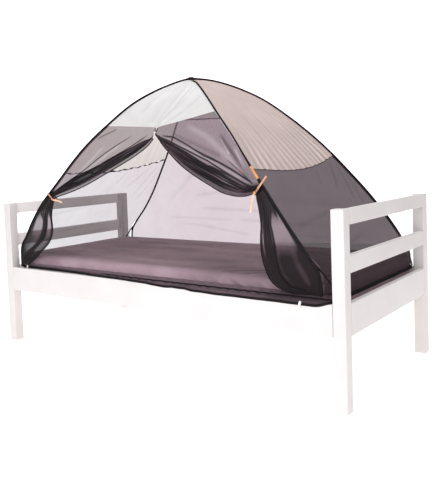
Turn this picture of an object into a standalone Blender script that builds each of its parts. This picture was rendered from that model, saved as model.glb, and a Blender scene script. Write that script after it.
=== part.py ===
"""Pop-up mosquito net tent standing on a single bed.

Metres, +Z up.  X runs along the bed from the head (-X) to the foot (+X), the
doorway is on the -Y side and the floor is z = 0 under the middle of the bed.
Two sprung hoops cross at the apex; cloth panels fill the four faces between
their legs, and the two halves of the front door are drawn back to the legs.
"""
import math

import bmesh
import bpy
from mathutils import Vector

# ---------------------------------------------------------------- bed
BED_LENGTH = 2.120
BED_WIDTH = 0.990
POST = 0.056
POST_HEIGHT = 0.805
BOARD = 0.024
TOP_RAIL = (0.742, 0.805)
MID_RAIL = (0.552, 0.623)
SIDE_RAIL = (0.303, 0.4345)
LEDGER = (0.300, 0.325)
LEDGER_THICK = 0.022
SLAT_COUNT = 10
SLAT_WIDTH = 0.070
SLAT_THICK = 0.018
EDGE_ROUND = 0.002
SEAM = 0.0003

# ---------------------------------------------------------------- mattress and floor cloth
MATTRESS_HALF = (0.995, 0.450)
MATTRESS_CORNER = 0.067
MATTRESS_ROUND = 0.026
MATTRESS_TOP = 0.507
CLOTH = 0.0020
FLOOR_SIDE_EASE = 0.0025
FLOOR_TOP_EASE = 0.0004
FLOOR_SKIRT = 0.400
TAPE_WIDTH = 0.013
TAPE_HEIGHT = (0.436, 0.448)

# ---------------------------------------------------------------- hoops
SLEEVE_RADIUS = 0.0065
SLEEVE_SIDES = 8
HOOP_LIFT = 0.007
PANEL_GAP = 0.0008
BEND_ROOM = 0.0022
PANEL_TIP = 0.975
FLARE = (0.505, 0.640)
NET = 0.0012
ROOF = 0.0015
# One leg, from its foot to the apex: height, distance from the middle of the
# bed along its length, and across it.  The hoops are not even, so each leg also
# leans toward the foot end by its own amount at each height.
LEG = (
    # height, along, across, lean of the fl, br, fr and bl legs
    (0.4550, 0.945, 0.465, 0.000, 0.000, 0.000, 0.000),
    (0.5500, 0.935, 0.470, 0.000, 0.009, 0.000, -0.008),
    (0.6200, 0.890, 0.473, 0.006, 0.016, -0.001, -0.006),
    (0.7100, 0.825, 0.476, 0.008, 0.014, -0.001, 0.004),
    (0.8150, 0.743, 0.466, 0.010, 0.014, 0.000, 0.005),
    (0.9200, 0.650, 0.433, 0.008, 0.025, 0.001, 0.002),
    (1.0200, 0.560, 0.397, 0.001, 0.033, 0.001, -0.002),
    (1.1200, 0.470, 0.356, 0.000, 0.032, -0.001, -0.006),
    (1.2200, 0.372, 0.299, 0.003, 0.031, -0.010, -0.010),
    (1.3200, 0.260, 0.226, 0.002, 0.030, -0.014, -0.012),
    (1.3900, 0.148, 0.134, -0.009, 0.034, -0.015, -0.014),
    (1.4280, 0.062, 0.057, -0.016, 0.029, -0.016, -0.016),
    (1.4440, 0.000, 0.000, -0.019, -0.019, -0.019, -0.019),
)
CORNERS = {
    # corner: along, across, lift at the apex, column of its lean
    "fl": (-1, -1, HOOP_LIFT, 3),
    "br": (1, 1, HOOP_LIFT, 4),
    "fr": (1, -1, -HOOP_LIFT, 5),
    "bl": (-1, 1, -HOOP_LIFT, 6),
}
LEAN_DIRECTION = (0.78, 0.625)

# ---------------------------------------------------------------- doors
# Free edge of each door half from the top of the slit, round the tie, to the
# zip pull at the bottom: place along the bed and height.
RIGHT_EDGE = (
    # along, height
    (0.006, 1.180), (0.005, 1.150), (0.030, 1.128), (0.082, 1.085),
    (0.141, 1.040), (0.217, 0.988), (0.306, 0.940), (0.400, 0.897),
    (0.471, 0.867), (0.543, 0.852), (0.598, 0.852), (0.634, 0.862),
    (0.651, 0.868),
    (0.657, 0.842), (0.672, 0.800), (0.684, 0.735), (0.680, 0.670),
    (0.680, 0.620), (0.690, 0.565), (0.713, 0.512), (0.748, 0.478),
    (0.800, 0.460), (0.862, 0.4545),
)
LEFT_EDGE = (
    # along, height
    (-0.010, 1.180), (-0.003, 1.150), (-0.006, 1.118), (-0.038, 1.083),
    (-0.108, 1.040), (-0.200, 0.996), (-0.302, 0.951), (-0.392, 0.912),
    (-0.480, 0.880), (-0.560, 0.858), (-0.606, 0.847), (-0.630, 0.840),
    (-0.645, 0.832),
    (-0.647, 0.805), (-0.653, 0.770), (-0.656, 0.730), (-0.650, 0.680),
    (-0.662, 0.630), (-0.694, 0.585), (-0.760, 0.535), (-0.820, 0.492),
    (-0.860, 0.466), (-0.892, 0.4545),
)
NECK_ROW = 12
DOOR_FOLDS = 5
DOOR_COLUMNS = 20
NET_EASE = 0.0005
NECK_DEPTH = 0.012
NECK_RISE = 0.030
RIBBON_WIDTH = 0.009
RIBBON_THICK = 0.0014
KNOT = (0.013, 0.006, 0.012)
# Run of each tie's free end on from its knot.
RIGHT_END = ((0.001, 0.000, 0.0012), (-0.006, -0.003, -0.026),
             (-0.010, -0.004, -0.052), (-0.016, -0.004, -0.078))
LEFT_END = ((0.000, 0.000, 0.000), (0.024, -0.003, 0.000),
            (0.050, -0.004, -0.005), (0.078, -0.004, -0.012))


def reset_scene():
    for item in list(bpy.data.objects):
        bpy.data.objects.remove(item, do_unlink=True)


def material(name, colour, roughness=0.8):
    made = bpy.data.materials.new(name)
    made.use_nodes = True
    shader = made.node_tree.nodes["Principled BSDF"]
    shader.inputs["Base Color"].default_value = (*colour, 1.0)
    shader.inputs["Roughness"].default_value = roughness
    made.diffuse_color = (*colour, 1.0)
    return made


def mesh_object(name, points, faces, slot, smooth=False):
    mesh = bpy.data.meshes.new(name)
    mesh.from_pydata([tuple(p) for p in points], [], faces)
    work = bmesh.new()
    work.from_mesh(mesh)
    bmesh.ops.recalc_face_normals(work, faces=work.faces)
    work.to_mesh(mesh)
    work.free()
    mesh.materials.append(slot)
    for polygon in mesh.polygons:
        polygon.use_smooth = smooth
    made = bpy.data.objects.new(name, mesh)
    bpy.context.scene.collection.objects.link(made)
    return made


def board(name, low, high, slot, rounding=EDGE_ROUND):
    """Squared timber between two opposite corners, edges eased."""
    corners = [(x, y, z) for x in (low[0], high[0]) for y in (low[1], high[1])
               for z in (low[2], high[2])]
    faces = [(0, 1, 3, 2), (4, 6, 7, 5), (0, 4, 5, 1), (2, 3, 7, 6),
             (0, 2, 6, 4), (1, 5, 7, 3)]
    made = mesh_object(name, corners, faces, slot)
    ease = made.modifiers.new("eased", "BEVEL")
    ease.width = rounding
    ease.segments = 1
    return made


def loft(name, rings, slot, closed=False, smooth=True):
    """Skin through rings of equal count; ends capped unless closed."""
    count = len(rings[0])
    points = [point for ring in rings for point in ring]
    faces = []
    last = len(rings) if closed else len(rings) - 1
    for row in range(last):
        here, above = row * count, (row + 1) % len(rings) * count
        for step in range(count):
            after = (step + 1) % count
            faces.append((here + step, here + after, above + after, above + step))
    if not closed:
        faces.append(tuple(range(count)))
        faces.append(tuple(range(len(points) - count, len(points))))
    return mesh_object(name, points, faces, slot, smooth)


def sheet(name, grid, thick, slot):
    """Closed sheet of even thickness about a grid of points."""
    rows, cols = len(grid), len(grid[0])
    front, back = [], []
    for r in range(rows):
        for c in range(cols):
            along = grid[min(r + 1, rows - 1)][c] - grid[max(r - 1, 0)][c]
            across = grid[r][min(c + 1, cols - 1)] - grid[r][max(c - 1, 0)]
            normal = across.cross(along).normalized() * (thick / 2)
            front.append(grid[r][c] + normal)
            back.append(grid[r][c] - normal)
    other = rows * cols
    faces = []
    for r in range(rows - 1):
        for c in range(cols - 1):
            a = r * cols + c
            quad = (a, a + 1, a + cols + 1, a + cols)
            faces.append(quad)
            faces.append(tuple(other + i for i in reversed(quad)))
    rim = [c for c in range(cols)]
    rim += [r * cols + cols - 1 for r in range(1, rows)]
    rim += [(rows - 1) * cols + c for c in range(cols - 2, -1, -1)]
    rim += [r * cols for r in range(rows - 2, 0, -1)]
    for step, a in enumerate(rim):
        b = rim[(step + 1) % len(rim)]
        faces.append((b, a, other + a, other + b))
    return mesh_object(name, front + back, faces, slot, smooth=True)


def outline(grow, height, corner_steps=6, side_steps=2):
    """Mattress outline grown outwards by a distance, as a ring at a height."""
    half_x = MATTRESS_HALF[0] - MATTRESS_CORNER
    half_y = MATTRESS_HALF[1] - MATTRESS_CORNER
    radius = MATTRESS_CORNER + grow
    ring = []
    for quarter, (sx, sy) in enumerate(((1, 1), (-1, 1), (-1, -1), (1, -1))):
        for step in range(corner_steps + 1):
            angle = math.pi / 2 * (quarter + step / corner_steps)
            ring.append(Vector((sx * half_x + radius * math.cos(angle),
                                sy * half_y + radius * math.sin(angle), height)))
        after = math.pi / 2 * (quarter + 1)
        nx, ny = ((-1, 1), (-1, -1), (1, -1), (1, 1))[quarter]
        start = ring[-1]
        end = Vector((nx * half_x + radius * math.cos(after),
                      ny * half_y + radius * math.sin(after), height))
        for step in range(1, side_steps + 1):
            ring.append(start.lerp(end, step / (side_steps + 1)))
    return ring


def blend(value):
    value = min(1.0, max(0.0, value))
    return value * value * (3.0 - 2.0 * value)


def along_table(rows, place):
    """Smooth curve through rows of numbers; place runs 0 to 1."""
    scaled = min(max(place, 0.0), 1.0) * (len(rows) - 1)
    index = min(int(scaled), len(rows) - 2)
    part = scaled - index
    before = rows[max(index - 1, 0)]
    start, end = rows[index], rows[index + 1]
    after = rows[min(index + 2, len(rows) - 1)]
    curve = []
    for p, q, r, s in zip(before, start, end, after):
        curve.append(0.5 * (2 * q + (r - p) * part
                            + (2 * p - 5 * q + 4 * r - s) * part ** 2
                            + (3 * q - p - 3 * r + s) * part ** 3))
    return curve


def leg_point(corner, place):
    """Middle of one leg's sleeve; place 0 is the foot and 1 the apex."""
    sign_x, sign_y, lift, column = CORNERS[corner]
    row = along_table(LEG, place)
    height, along, across, push = row[0], row[1], row[2], row[column]
    near_top = blend((place - 0.86) / 0.14)
    return Vector((sign_x * along + push * LEAN_DIRECTION[0],
                   sign_y * across + push * LEAN_DIRECTION[1],
                   height + lift * near_top))


def place_at(height):
    """How far up a leg a height is reached."""
    low, high = 0.0, 1.0
    for _ in range(40):
        middle = (low + high) / 2
        if along_table(LEG, middle)[0] < height:
            low = middle
        else:
            high = middle
    return low


def face_point(face, across, place, ease=0.0):
    """Point of the cloth stretched between two legs, clear of the sleeves."""
    first, second = (leg_point(corner, place) for corner in face)
    row = second - first
    width = row.length
    insets = []
    for corner in face:
        tangent = leg_point(corner, place + 0.01) - leg_point(corner, place - 0.01)
        cosine = abs(tangent.normalized().dot(row.normalized()))
        sine = math.sqrt(max(1.0 - cosine * cosine, 0.09))
        room = BEND_ROOM * blend((0.32 - place) / 0.12)
        room += 0.4 * BEND_ROOM * blend((place - 0.90) / 0.05)
        insets.append((SLEEVE_RADIUS + PANEL_GAP + ease + room) / sine)
    reach = insets[0] + across * (width - insets[0] - insets[1])
    return first.lerp(second, reach / width)


def front_point(x, height):
    """Point of the front face at a place along the bed and a height."""
    place = place_at(height)
    first, second = leg_point("fl", place), leg_point("fr", place)
    share = (x - first.x) / (second.x - first.x)
    spot = first.lerp(second, share)
    return Vector((x, spot.y, height))


def even(count):
    return [step / count for step in range(count + 1)]


def panel(name, face, hem, rows, columns, slot):
    """Roof panel between two legs, from its hem up to its tip."""
    grid = []
    for r in range(rows + 1):
        line = []
        for across in columns:
            place = hem(across) + (PANEL_TIP - hem(across)) * r / rows
            line.append(face_point(face, across, place))
        grid.append(line)
    sheet(name, grid, ROOF, slot)


# ---------------------------------------------------------------- bed
def build_bed(paint, timber):
    half_x, half_y = BED_LENGTH / 2, BED_WIDTH / 2
    inner_x, inner_y = half_x - POST, half_y - POST
    for end, sx in (("head", -1), ("foot", 1)):
        for side, sy in (("front", -1), ("back", 1)):
            xs = sorted((sx * inner_x, sx * half_x))
            ys = sorted((sy * inner_y, sy * half_y))
            board(f"post_{end}_{side}", (xs[0], ys[0], 0.0),
                  (xs[1], ys[1], POST_HEIGHT), paint, rounding=0.003)
        xs = sorted((sx * (half_x - BOARD), sx * half_x))
        for part, (low, high) in (("top", TOP_RAIL), ("mid", MID_RAIL), ("end", SIDE_RAIL)):
            board(f"{end}_{part}_rail", (xs[0], -inner_y + SEAM, low),
                  (xs[1], inner_y - SEAM, high), paint)
    for side, sy in (("front", -1), ("back", 1)):
        ys = sorted((sy * (half_y - BOARD), sy * half_y))
        board(f"side_rail_{side}", (-inner_x + SEAM, ys[0], SIDE_RAIL[0]),
              (inner_x - SEAM, ys[1], SIDE_RAIL[1]), paint)
        face = half_y - BOARD - SEAM
        ys = sorted((sy * (face - LEDGER_THICK), sy * face))
        board(f"ledger_{side}", (-inner_x + 0.004, ys[0], LEDGER[0]),
              (inner_x - 0.004, ys[1], LEDGER[1]), timber)
    reach = half_y - BOARD - SEAM
    pitch = (2 * inner_x - 0.12) / (SLAT_COUNT - 1)
    low = LEDGER[1] + SEAM
    for index in range(SLAT_COUNT):
        middle = -inner_x + 0.06 + index * pitch
        board(f"slat_{index + 1:02d}", (middle - SLAT_WIDTH / 2, -reach, low),
              (middle + SLAT_WIDTH / 2, reach, low + SLAT_THICK), timber)
    return low + SLAT_THICK


def build_mattress(bottom, ticking):
    bend = MATTRESS_ROUND
    rings = []
    for level, turn in ((bottom, -1), (MATTRESS_TOP, 1)):
        arc = []
        for step in range(4):
            angle = math.pi / 2 * step / 3
            grow = -bend + bend * math.cos(angle)
            height = level - turn * bend + turn * bend * math.sin(angle)
            arc.append(outline(grow, height))
        rings += arc if turn > 0 else arc[::-1]
    loft("mattress", rings, ticking)


def build_floor(cloth, trim):
    """Floor cloth fitted over the mattress, and the taped hem round it."""
    inner_top = MATTRESS_TOP + FLOOR_TOP_EASE
    inner, outer = [], []
    for step in range(4):
        angle = math.pi / 2 * step / 3
        for rings, side, top, bend in (
                (inner, FLOOR_SIDE_EASE, inner_top, MATTRESS_ROUND),
                (outer, FLOOR_SIDE_EASE + CLOTH, inner_top + CLOTH, MATTRESS_ROUND + CLOTH)):
            rings.append(outline(side - bend + bend * math.cos(angle),
                                 top - bend + bend * math.sin(angle)))
    inner.insert(0, outline(FLOOR_SIDE_EASE, FLOOR_SKIRT))
    outer.insert(0, outline(FLOOR_SIDE_EASE + CLOTH, FLOOR_SKIRT))
    loft("floor_cloth", inner[::-1] + outer, cloth)
    near = FLOOR_SIDE_EASE + CLOTH + PANEL_GAP
    far = near + TAPE_WIDTH
    corners = ((near, TAPE_HEIGHT[0]), (far, TAPE_HEIGHT[0]),
               (far, TAPE_HEIGHT[1]), (near, TAPE_HEIGHT[1]))
    loft("floor_hem_tape", [outline(grow, height) for grow, height in corners], trim, closed=True)


def build_hoop(name, start, end, slot, steps=34):
    """Sprung hoop in its sleeve, from one foot over the apex to the other."""
    spine = [leg_point(start, step / steps) for step in range(steps + 1)]
    spine += [leg_point(end, 1 - step / steps) for step in range(1, steps + 1)]
    span = spine[-1] - spine[0]
    side = Vector((span.y, -span.x, 0.0)).normalized()
    rings = []
    for index, middle in enumerate(spine):
        tangent = spine[min(index + 1, len(spine) - 1)] - spine[max(index - 1, 0)]
        across = (side - tangent * side.dot(tangent) / tangent.length_squared).normalized()
        up = across.cross(tangent.normalized())
        ring = []
        for step in range(SLEEVE_SIDES):
            angle = 2 * math.pi * (step + 0.5) / SLEEVE_SIDES
            ring.append(middle + SLEEVE_RADIUS * (math.cos(angle) * across + math.sin(angle) * up))
        rings.append(ring)
    loft(name, rings, slot)


def build_apex_patch(slot):
    """Short saddle sewn over the upper hoop where the hoops cross."""
    top = leg_point("fl", 1.0)
    ahead = (leg_point("br", 0.97) - leg_point("fl", 0.97)).normalized()
    side = Vector((ahead.y, -ahead.x, 0.0)).normalized()
    near = SLEEVE_RADIUS + 0.0006
    profile = []
    for radius, steps in ((near, range(7)), (near + CLOTH, range(6, -1, -1))):
        for step in steps:
            angle = math.radians(-10 + 200 * step / 6)
            profile.append((radius * math.cos(angle), radius * math.sin(angle)))
    rings = []
    for place in (-0.012, 0.0, 0.012):
        middle = top + ahead * place
        rings.append([middle + side * a + Vector((0, 0, b)) for a, b in profile])
    loft("apex_patch", rings, slot)


def build_tops(white, beige):
    """Closed roof panels, from each hem up to the crossing."""
    panel("top_front", ("fl", "fr"), front_hem, 9, even(10), white)
    panel("top_back", ("bl", "br"), back_hem, 9, even(10), white)
    columns = [run / CornerPath().length for run in CornerPath().stations()]
    panel("top_foot", ("fr", "br"), foot_hem, 8, columns, beige)
    panel("top_head", ("fl", "bl"), head_hem, 8, columns, beige)


def front_hem(across):
    """Lower edge of the front panel, drawn down in a point at the slit."""
    slack = 0.042 * (1.0 - abs(2 * across - 1)) ** 1.1
    return place_at(1.214 + 0.026 * across - slack)


def back_hem(across):
    return place_at(1.262 - 0.010 * math.sin(math.pi * across))


def foot_hem(across):
    return place_at(0.968 + 0.044 * across - 0.036 * math.sin(math.pi * across))


def head_hem(across):
    return place_at(0.968 + 0.058 * across - 0.028 * math.sin(math.pi * across))


def below(hem):
    """The seam line just under a hem."""
    return lambda across: hem(across) - 0.0006


class CornerPath:
    """Line of an end net's lower edge, round both mattress corners."""

    def __init__(self):
        self.radius = MATTRESS_CORNER + FLOOR_SIDE_EASE + CLOTH + PANEL_GAP + TAPE_WIDTH / 2
        self.x = MATTRESS_HALF[0] - MATTRESS_CORNER
        self.y = MATTRESS_HALF[1] - MATTRESS_CORNER
        self.turn = math.acos((LEG[0][1] + 0.009 - self.x) / self.radius)
        self.bend = self.turn * self.radius
        self.length = 2 * self.bend + 2 * self.y

    def stations(self):
        """Distances along the line, closer together round the corners."""
        corner = [self.bend * part for part in even(4)]
        middle = [self.bend + 2 * self.y * part for part in even(6)]
        return corner[:-1] + middle + [self.length - run for run in reversed(corner[:-1])]

    def point(self, run):
        if run < self.bend:
            angle = -self.turn + run / self.radius
            centre = -self.y
        elif run > self.length - self.bend:
            angle = self.turn - (self.length - run) / self.radius
            centre = self.y
        else:
            return Vector((self.x + self.radius, run - self.bend - self.y, 0.0))
        return Vector((self.x + self.radius * math.cos(angle),
                       centre + self.radius * math.sin(angle), 0.0))


def end_net(name, face, hem, slot, rows=14):
    """Net over a bed end; its foot flares out round the mattress corners."""
    sign = CORNERS[face[0]][0]
    path = CornerPath()
    grid = []
    for r in range(rows + 1):
        line = []
        for run in path.stations():
            across = run / path.length
            place = below(hem)(across) * (r / rows) ** 0.9
            height = along_table(LEG, place)[0]
            taut = face_point(face, across, place, NET_EASE)
            low = path.point(run)
            low.x *= sign
            flare = 1.0 - blend((height - FLARE[0]) / (FLARE[1] - FLARE[0]))
            low.z = taut.z - 0.006 * flare
            line.append(taut.lerp(low, flare))
        grid.append(line)
    sheet(name, grid, NET, slot)


def build_back_net(slot, rows=14, cols=10):
    """Back net, with shallow slack between the legs."""
    grid = []
    for r in range(rows + 1):
        line = []
        for c in range(cols + 1):
            across = c / cols
            place = below(back_hem)(across) * r / rows
            spot = face_point(("bl", "br"), across, place, NET_EASE)
            slack = math.sin(math.pi * across) * math.sin(math.pi * r / rows)
            spot.y += 0.008 * slack
            if r == 0:
                spot.z = TAPE_HEIGHT[1] + PANEL_GAP + 0.0004
            line.append(spot)
        grid.append(line)
    sheet("net_back", grid, NET, slot)


def build_door(name, corner, edge, slot):
    """Door half drawn back to its leg and gathered in the tie."""
    side = CORNERS[corner][0]
    cols = DOOR_COLUMNS
    rows = len(edge) - 1
    neck_height = edge[NECK_ROW][1]
    grid = []
    for r in range(rows + 1):
        above = r <= NECK_ROW
        part = r / NECK_ROW if above else (r - NECK_ROW) / (rows - NECK_ROW)
        hem_place = front_hem(0.5 + 0.5 * side) - 0.0006
        neck_place = place_at(neck_height + NECK_RISE)
        if above:
            place = hem_place + (neck_place - hem_place) * part
            pull = 1.0 - 0.64 * math.sin(math.pi * part) ** 0.8
            depth = NECK_DEPTH * part ** 1.5
        else:
            place = neck_place * (1.0 - part)
            pull = 1.0 - 0.66 * math.sin(math.pi * part ** 0.7) ** 0.8
            depth = NECK_DEPTH * (1.0 - 0.30 * blend(part * 1.4))
            depth *= 1.0 - 0.7 * blend((part - 0.75) / 0.25)
        leg_side = face_point(("fl", "fr"), 0.5 + 0.5 * side, place, NET_EASE)
        free = front_point(*edge[r])
        line = []
        for c in range(cols + 1):
            share = c / cols
            if r == 0:
                across = 0.5 + side * 0.5 * (1.0 - share * 0.985)
                line.append(face_point(("fl", "fr"), across, front_hem(across) - 0.0006))
                continue
            weight = share ** pull
            spot = leg_side.lerp(free, weight)
            level = front_point(spot.x, max(spot.z, LEG[0][0]))
            spot.y = level.y
            held = blend(share * 4)
            wave = math.sin(2 * math.pi * DOOR_FOLDS * share)
            spot.y += depth * wave * held
            line.append(spot)
        grid.append(line)
    for c in range(cols + 1):
        grid[-1][c].z = TAPE_HEIGHT[1] + PANEL_GAP + 0.0004
        grid[-1][c].y = max(grid[-1][c].y, -0.4665)
    if side > 0:
        grid = [line[::-1] for line in grid]
    sheet(name, grid[::-1], NET, slot)


def ribbon(name, path, facings, slot, width=RIBBON_WIDTH):
    """Flat ribbon through points; each facing is the direction it looks."""
    rings = []
    for index, middle in enumerate(path):
        run = path[min(index + 1, len(path) - 1)] - path[max(index - 1, 0)]
        facing = facings[index].normalized()
        across = run.cross(facing).normalized()
        a, b = across * width / 2, facing * RIBBON_THICK / 2
        rings.append([middle - a - b, middle + a - b, middle + a + b, middle - a + b])
    loft(name, rings, slot, smooth=False)


def build_tie(name, corner, edge, overrun, ease, tail, slot):
    """Tie sewn to the leg: a loop round the door, its knot and free end."""
    out = Vector((0.0, -1.0, 0.0))
    clear = NECK_DEPTH + NET / 2 + RIBBON_THICK / 2 + ease
    neck = front_point(*edge[NECK_ROW])
    leg = leg_point(corner, place_at(neck.z + NECK_RISE))
    ahead = Vector((leg.x - neck.x, 0.0, leg.z - neck.z)).normalized()
    span = (leg - neck).dot(ahead)
    slope = Vector((0.0, (leg.y - neck.y) / span, 0.0))

    def beside(run, away):
        """Point a distance along the neck and off the middle of the cloth."""
        return neck + ahead * run + slope * max(run, 0.0) + out * away

    path = [beside(span + overrun, clear), beside(0.012, clear)]
    facing = [out, out]
    for step in range(7):
        angle = math.pi * step / 6
        swing = math.copysign(abs(math.cos(angle)) ** 0.6, math.cos(angle))
        path.append(beside(-0.007 - 0.006 * math.sin(angle), clear * swing))
        facing.append(out * math.cos(angle) - ahead * math.sin(angle))
    path += [beside(0.012, -clear), beside(span - SLEEVE_RADIUS - 0.006, -clear)]
    facing += [-out, -out]
    ribbon(f"tie_{name}_loop", path, facing, slot)
    length, depth, height = KNOT
    up = ahead.cross(out)
    up = up if up.z > 0 else -up
    middle = neck - ahead * 0.001 + out * (clear + RIBBON_THICK / 2 + depth / 2 + 0.0001)
    rings = []
    for place, size in ((-0.5, 0.6), (-0.25, 1.0), (0.25, 1.0), (0.5, 0.6)):
        ring = []
        for step in range(8):
            angle = math.pi * (step + 0.5) / 4
            ring.append(middle + ahead * length * place
                        + out * depth * size * 0.5 * math.cos(angle)
                        + up * height * size * 0.5 * math.sin(angle))
        rings.append(ring)
    loft(f"tie_{name}_knot", rings, slot)
    start = middle - ahead * (length / 2 + 0.0028)
    line = [start + Vector(offset) for offset in tail]
    ribbon(f"tie_{name}_end", line, [out] * len(line), slot)


def build_leg_strap(name, corner, low, high, slot):
    """Length of the tie stitched along the outside of the leg's sleeve."""
    side = CORNERS[corner][0]
    facing = Vector((side * 0.5, -0.87, 0.0)).normalized()
    lift = SLEEVE_RADIUS + RIBBON_THICK / 2 + 0.0004
    line = []
    looks = []
    for step in range(5):
        place = place_at(low + (high - low) * step / 4)
        tangent = (leg_point(corner, place + 0.01) - leg_point(corner, place - 0.01)).normalized()
        look = (facing - tangent * facing.dot(tangent)).normalized()
        line.append(leg_point(corner, place) + look * lift)
        looks.append(look)
    ribbon(f"tie_{name}_strap", line, looks, slot, width=0.011)


def build_pull(name, top, drop, spread, slot):
    """Zip slider with its pull tab, as one moulding."""
    drop = Vector(drop)
    spread = Vector(spread)
    out = drop.normalized().cross(spread.normalized())
    sections = ((0.000, 0.0045, 0.0030), (0.008, 0.0045, 0.0030), (0.010, 0.0018, 0.0012),
                (0.014, 0.0018, 0.0012), (0.016, 0.0032, 0.0012), (drop.length, 0.0028, 0.0012))
    rings = []
    for run, half, thick in sections:
        middle = Vector(top) + drop.normalized() * run
        a, b = spread.normalized() * half, out * thick
        rings.append([middle - a - b, middle + a - b, middle + a + b, middle - a + b])
    loft(name, rings, slot, smooth=False)


def build_pulls(slot):
    """One slider at the top of the slit and one at each end of the hem tape."""
    face = front_point(0.0, 1.120) - front_point(0.0, 1.180)
    start = front_point(0.0005, 1.1620)
    start.y -= NET / 2 + 0.0030 + 0.0012
    build_pull("zip_pull_top", start, face.normalized() * 0.036, (1, 0, 0), slot)
    for label, x in (("left", LEFT_EDGE[-1][0]), ("right", RIGHT_EDGE[-1][0])):
        top = (x + math.copysign(0.004, x), -0.4698, 0.4452)
        build_pull(f"zip_pull_{label}", top, (0.0, -0.0224, -0.0087), (1, 0, 0), slot)


reset_scene()
white_paint = material("white_paint", (0.86, 0.83, 0.83), 0.45)
pale_timber = material("pale_timber", (0.72, 0.60, 0.44), 0.7)
ticking = material("mattress_ticking", (0.82, 0.81, 0.78), 0.85)
floor_cloth = material("floor_cloth", (0.17, 0.12, 0.14), 0.5)
black_trim = material("black_trim", (0.02, 0.02, 0.022), 0.7)
black_net = material("black_net", (0.05, 0.045, 0.05), 0.8)
white_cloth = material("white_cloth", (0.82, 0.82, 0.81), 0.8)
beige_cloth = material("beige_cloth", (0.70, 0.60, 0.57), 0.8)
orange_ribbon = material("orange_ribbon", (0.80, 0.33, 0.10), 0.7)
zip_white = material("zip_white", (0.85, 0.85, 0.85), 0.35)

slats_top = build_bed(white_paint, pale_timber)
build_mattress(slats_top + SEAM, ticking)
build_floor(floor_cloth, black_trim)
build_hoop("hoop_a", "fl", "br", black_trim)
build_hoop("hoop_b", "fr", "bl", black_trim)
build_apex_patch(black_trim)
build_tops(white_cloth, beige_cloth)
end_net("net_foot", ("fr", "br"), foot_hem, black_net)
end_net("net_head", ("fl", "bl"), head_hem, black_net)
build_back_net(black_net)
build_door("door_right", "fr", RIGHT_EDGE, black_net)
build_door("door_left", "fl", LEFT_EDGE, black_net)
build_tie("right", "fr", RIGHT_EDGE, 0.046, 0.0025, RIGHT_END, orange_ribbon)
build_tie("left", "fl", LEFT_EDGE, 0.002, 0.0022, LEFT_END, orange_ribbon)
build_leg_strap("right", "fr", 0.922, 0.975, orange_ribbon)
build_pulls(zip_white)
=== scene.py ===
import bisect
import math

import bmesh
import bpy
from mathutils import Matrix, Vector, noise


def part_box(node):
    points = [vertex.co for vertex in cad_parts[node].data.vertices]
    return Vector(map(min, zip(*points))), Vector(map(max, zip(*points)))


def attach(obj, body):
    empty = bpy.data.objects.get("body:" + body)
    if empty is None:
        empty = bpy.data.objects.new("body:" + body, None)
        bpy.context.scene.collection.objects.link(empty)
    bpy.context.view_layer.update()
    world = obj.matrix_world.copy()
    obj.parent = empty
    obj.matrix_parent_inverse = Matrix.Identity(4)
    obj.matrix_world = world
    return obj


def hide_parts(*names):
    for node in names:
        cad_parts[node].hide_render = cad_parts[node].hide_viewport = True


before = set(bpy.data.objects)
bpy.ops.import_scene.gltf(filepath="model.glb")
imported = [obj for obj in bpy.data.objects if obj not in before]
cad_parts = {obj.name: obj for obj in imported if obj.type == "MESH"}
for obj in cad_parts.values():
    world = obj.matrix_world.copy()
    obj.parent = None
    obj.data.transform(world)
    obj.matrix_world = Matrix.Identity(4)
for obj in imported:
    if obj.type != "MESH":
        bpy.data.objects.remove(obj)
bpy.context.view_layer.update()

# ---------------------------------------------------------------- hoops and faces
SLEEVE_RADIUS = 0.0065
HOOP_LIFT = 0.007
PANEL_GAP = 0.0003
NET_REACH = -0.0045
BEND_ROOM = 0.0022
PANEL_TIP = 0.978
FLARE = (0.505, 0.640)
# One leg, from its foot to the apex: height, distance from the middle of the
# bed along its length, and across it.  The hoops are not even, so each leg also
# leans toward the foot end by its own amount at each height.
LEG = (
    # height, along, across, lean of the fl, br, fr and bl legs
    (0.4550, 0.945, 0.465, 0.000, 0.000, 0.000, 0.000),
    (0.5500, 0.935, 0.470, 0.000, 0.009, 0.000, -0.008),
    (0.6200, 0.890, 0.473, 0.006, 0.016, -0.001, -0.006),
    (0.7100, 0.825, 0.476, 0.008, 0.014, -0.001, 0.004),
    (0.8150, 0.743, 0.466, 0.010, 0.014, 0.000, 0.005),
    (0.9200, 0.650, 0.433, 0.008, 0.025, 0.001, 0.002),
    (1.0200, 0.560, 0.397, 0.001, 0.033, 0.001, -0.002),
    (1.1200, 0.470, 0.356, 0.000, 0.032, -0.001, -0.006),
    (1.2200, 0.372, 0.299, 0.003, 0.031, -0.010, -0.010),
    (1.3200, 0.260, 0.226, 0.002, 0.030, -0.014, -0.012),
    (1.3900, 0.148, 0.134, -0.009, 0.034, -0.015, -0.014),
    (1.4280, 0.062, 0.057, -0.016, 0.029, -0.016, -0.016),
    (1.4440, 0.000, 0.000, -0.019, -0.019, -0.019, -0.019),
)
CORNERS = {
    # corner: along, across, lift at the apex, column of its lean
    "fl": (-1, -1, HOOP_LIFT, 3),
    "br": (1, 1, HOOP_LIFT, 4),
    "fr": (1, -1, -HOOP_LIFT, 5),
    "bl": (-1, 1, -HOOP_LIFT, 6),
}
LEAN_DIRECTION = (0.78, 0.625)
FRONT, BACK, FOOT, HEAD = ("fl", "fr"), ("bl", "br"), ("fr", "br"), ("fl", "bl")

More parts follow.
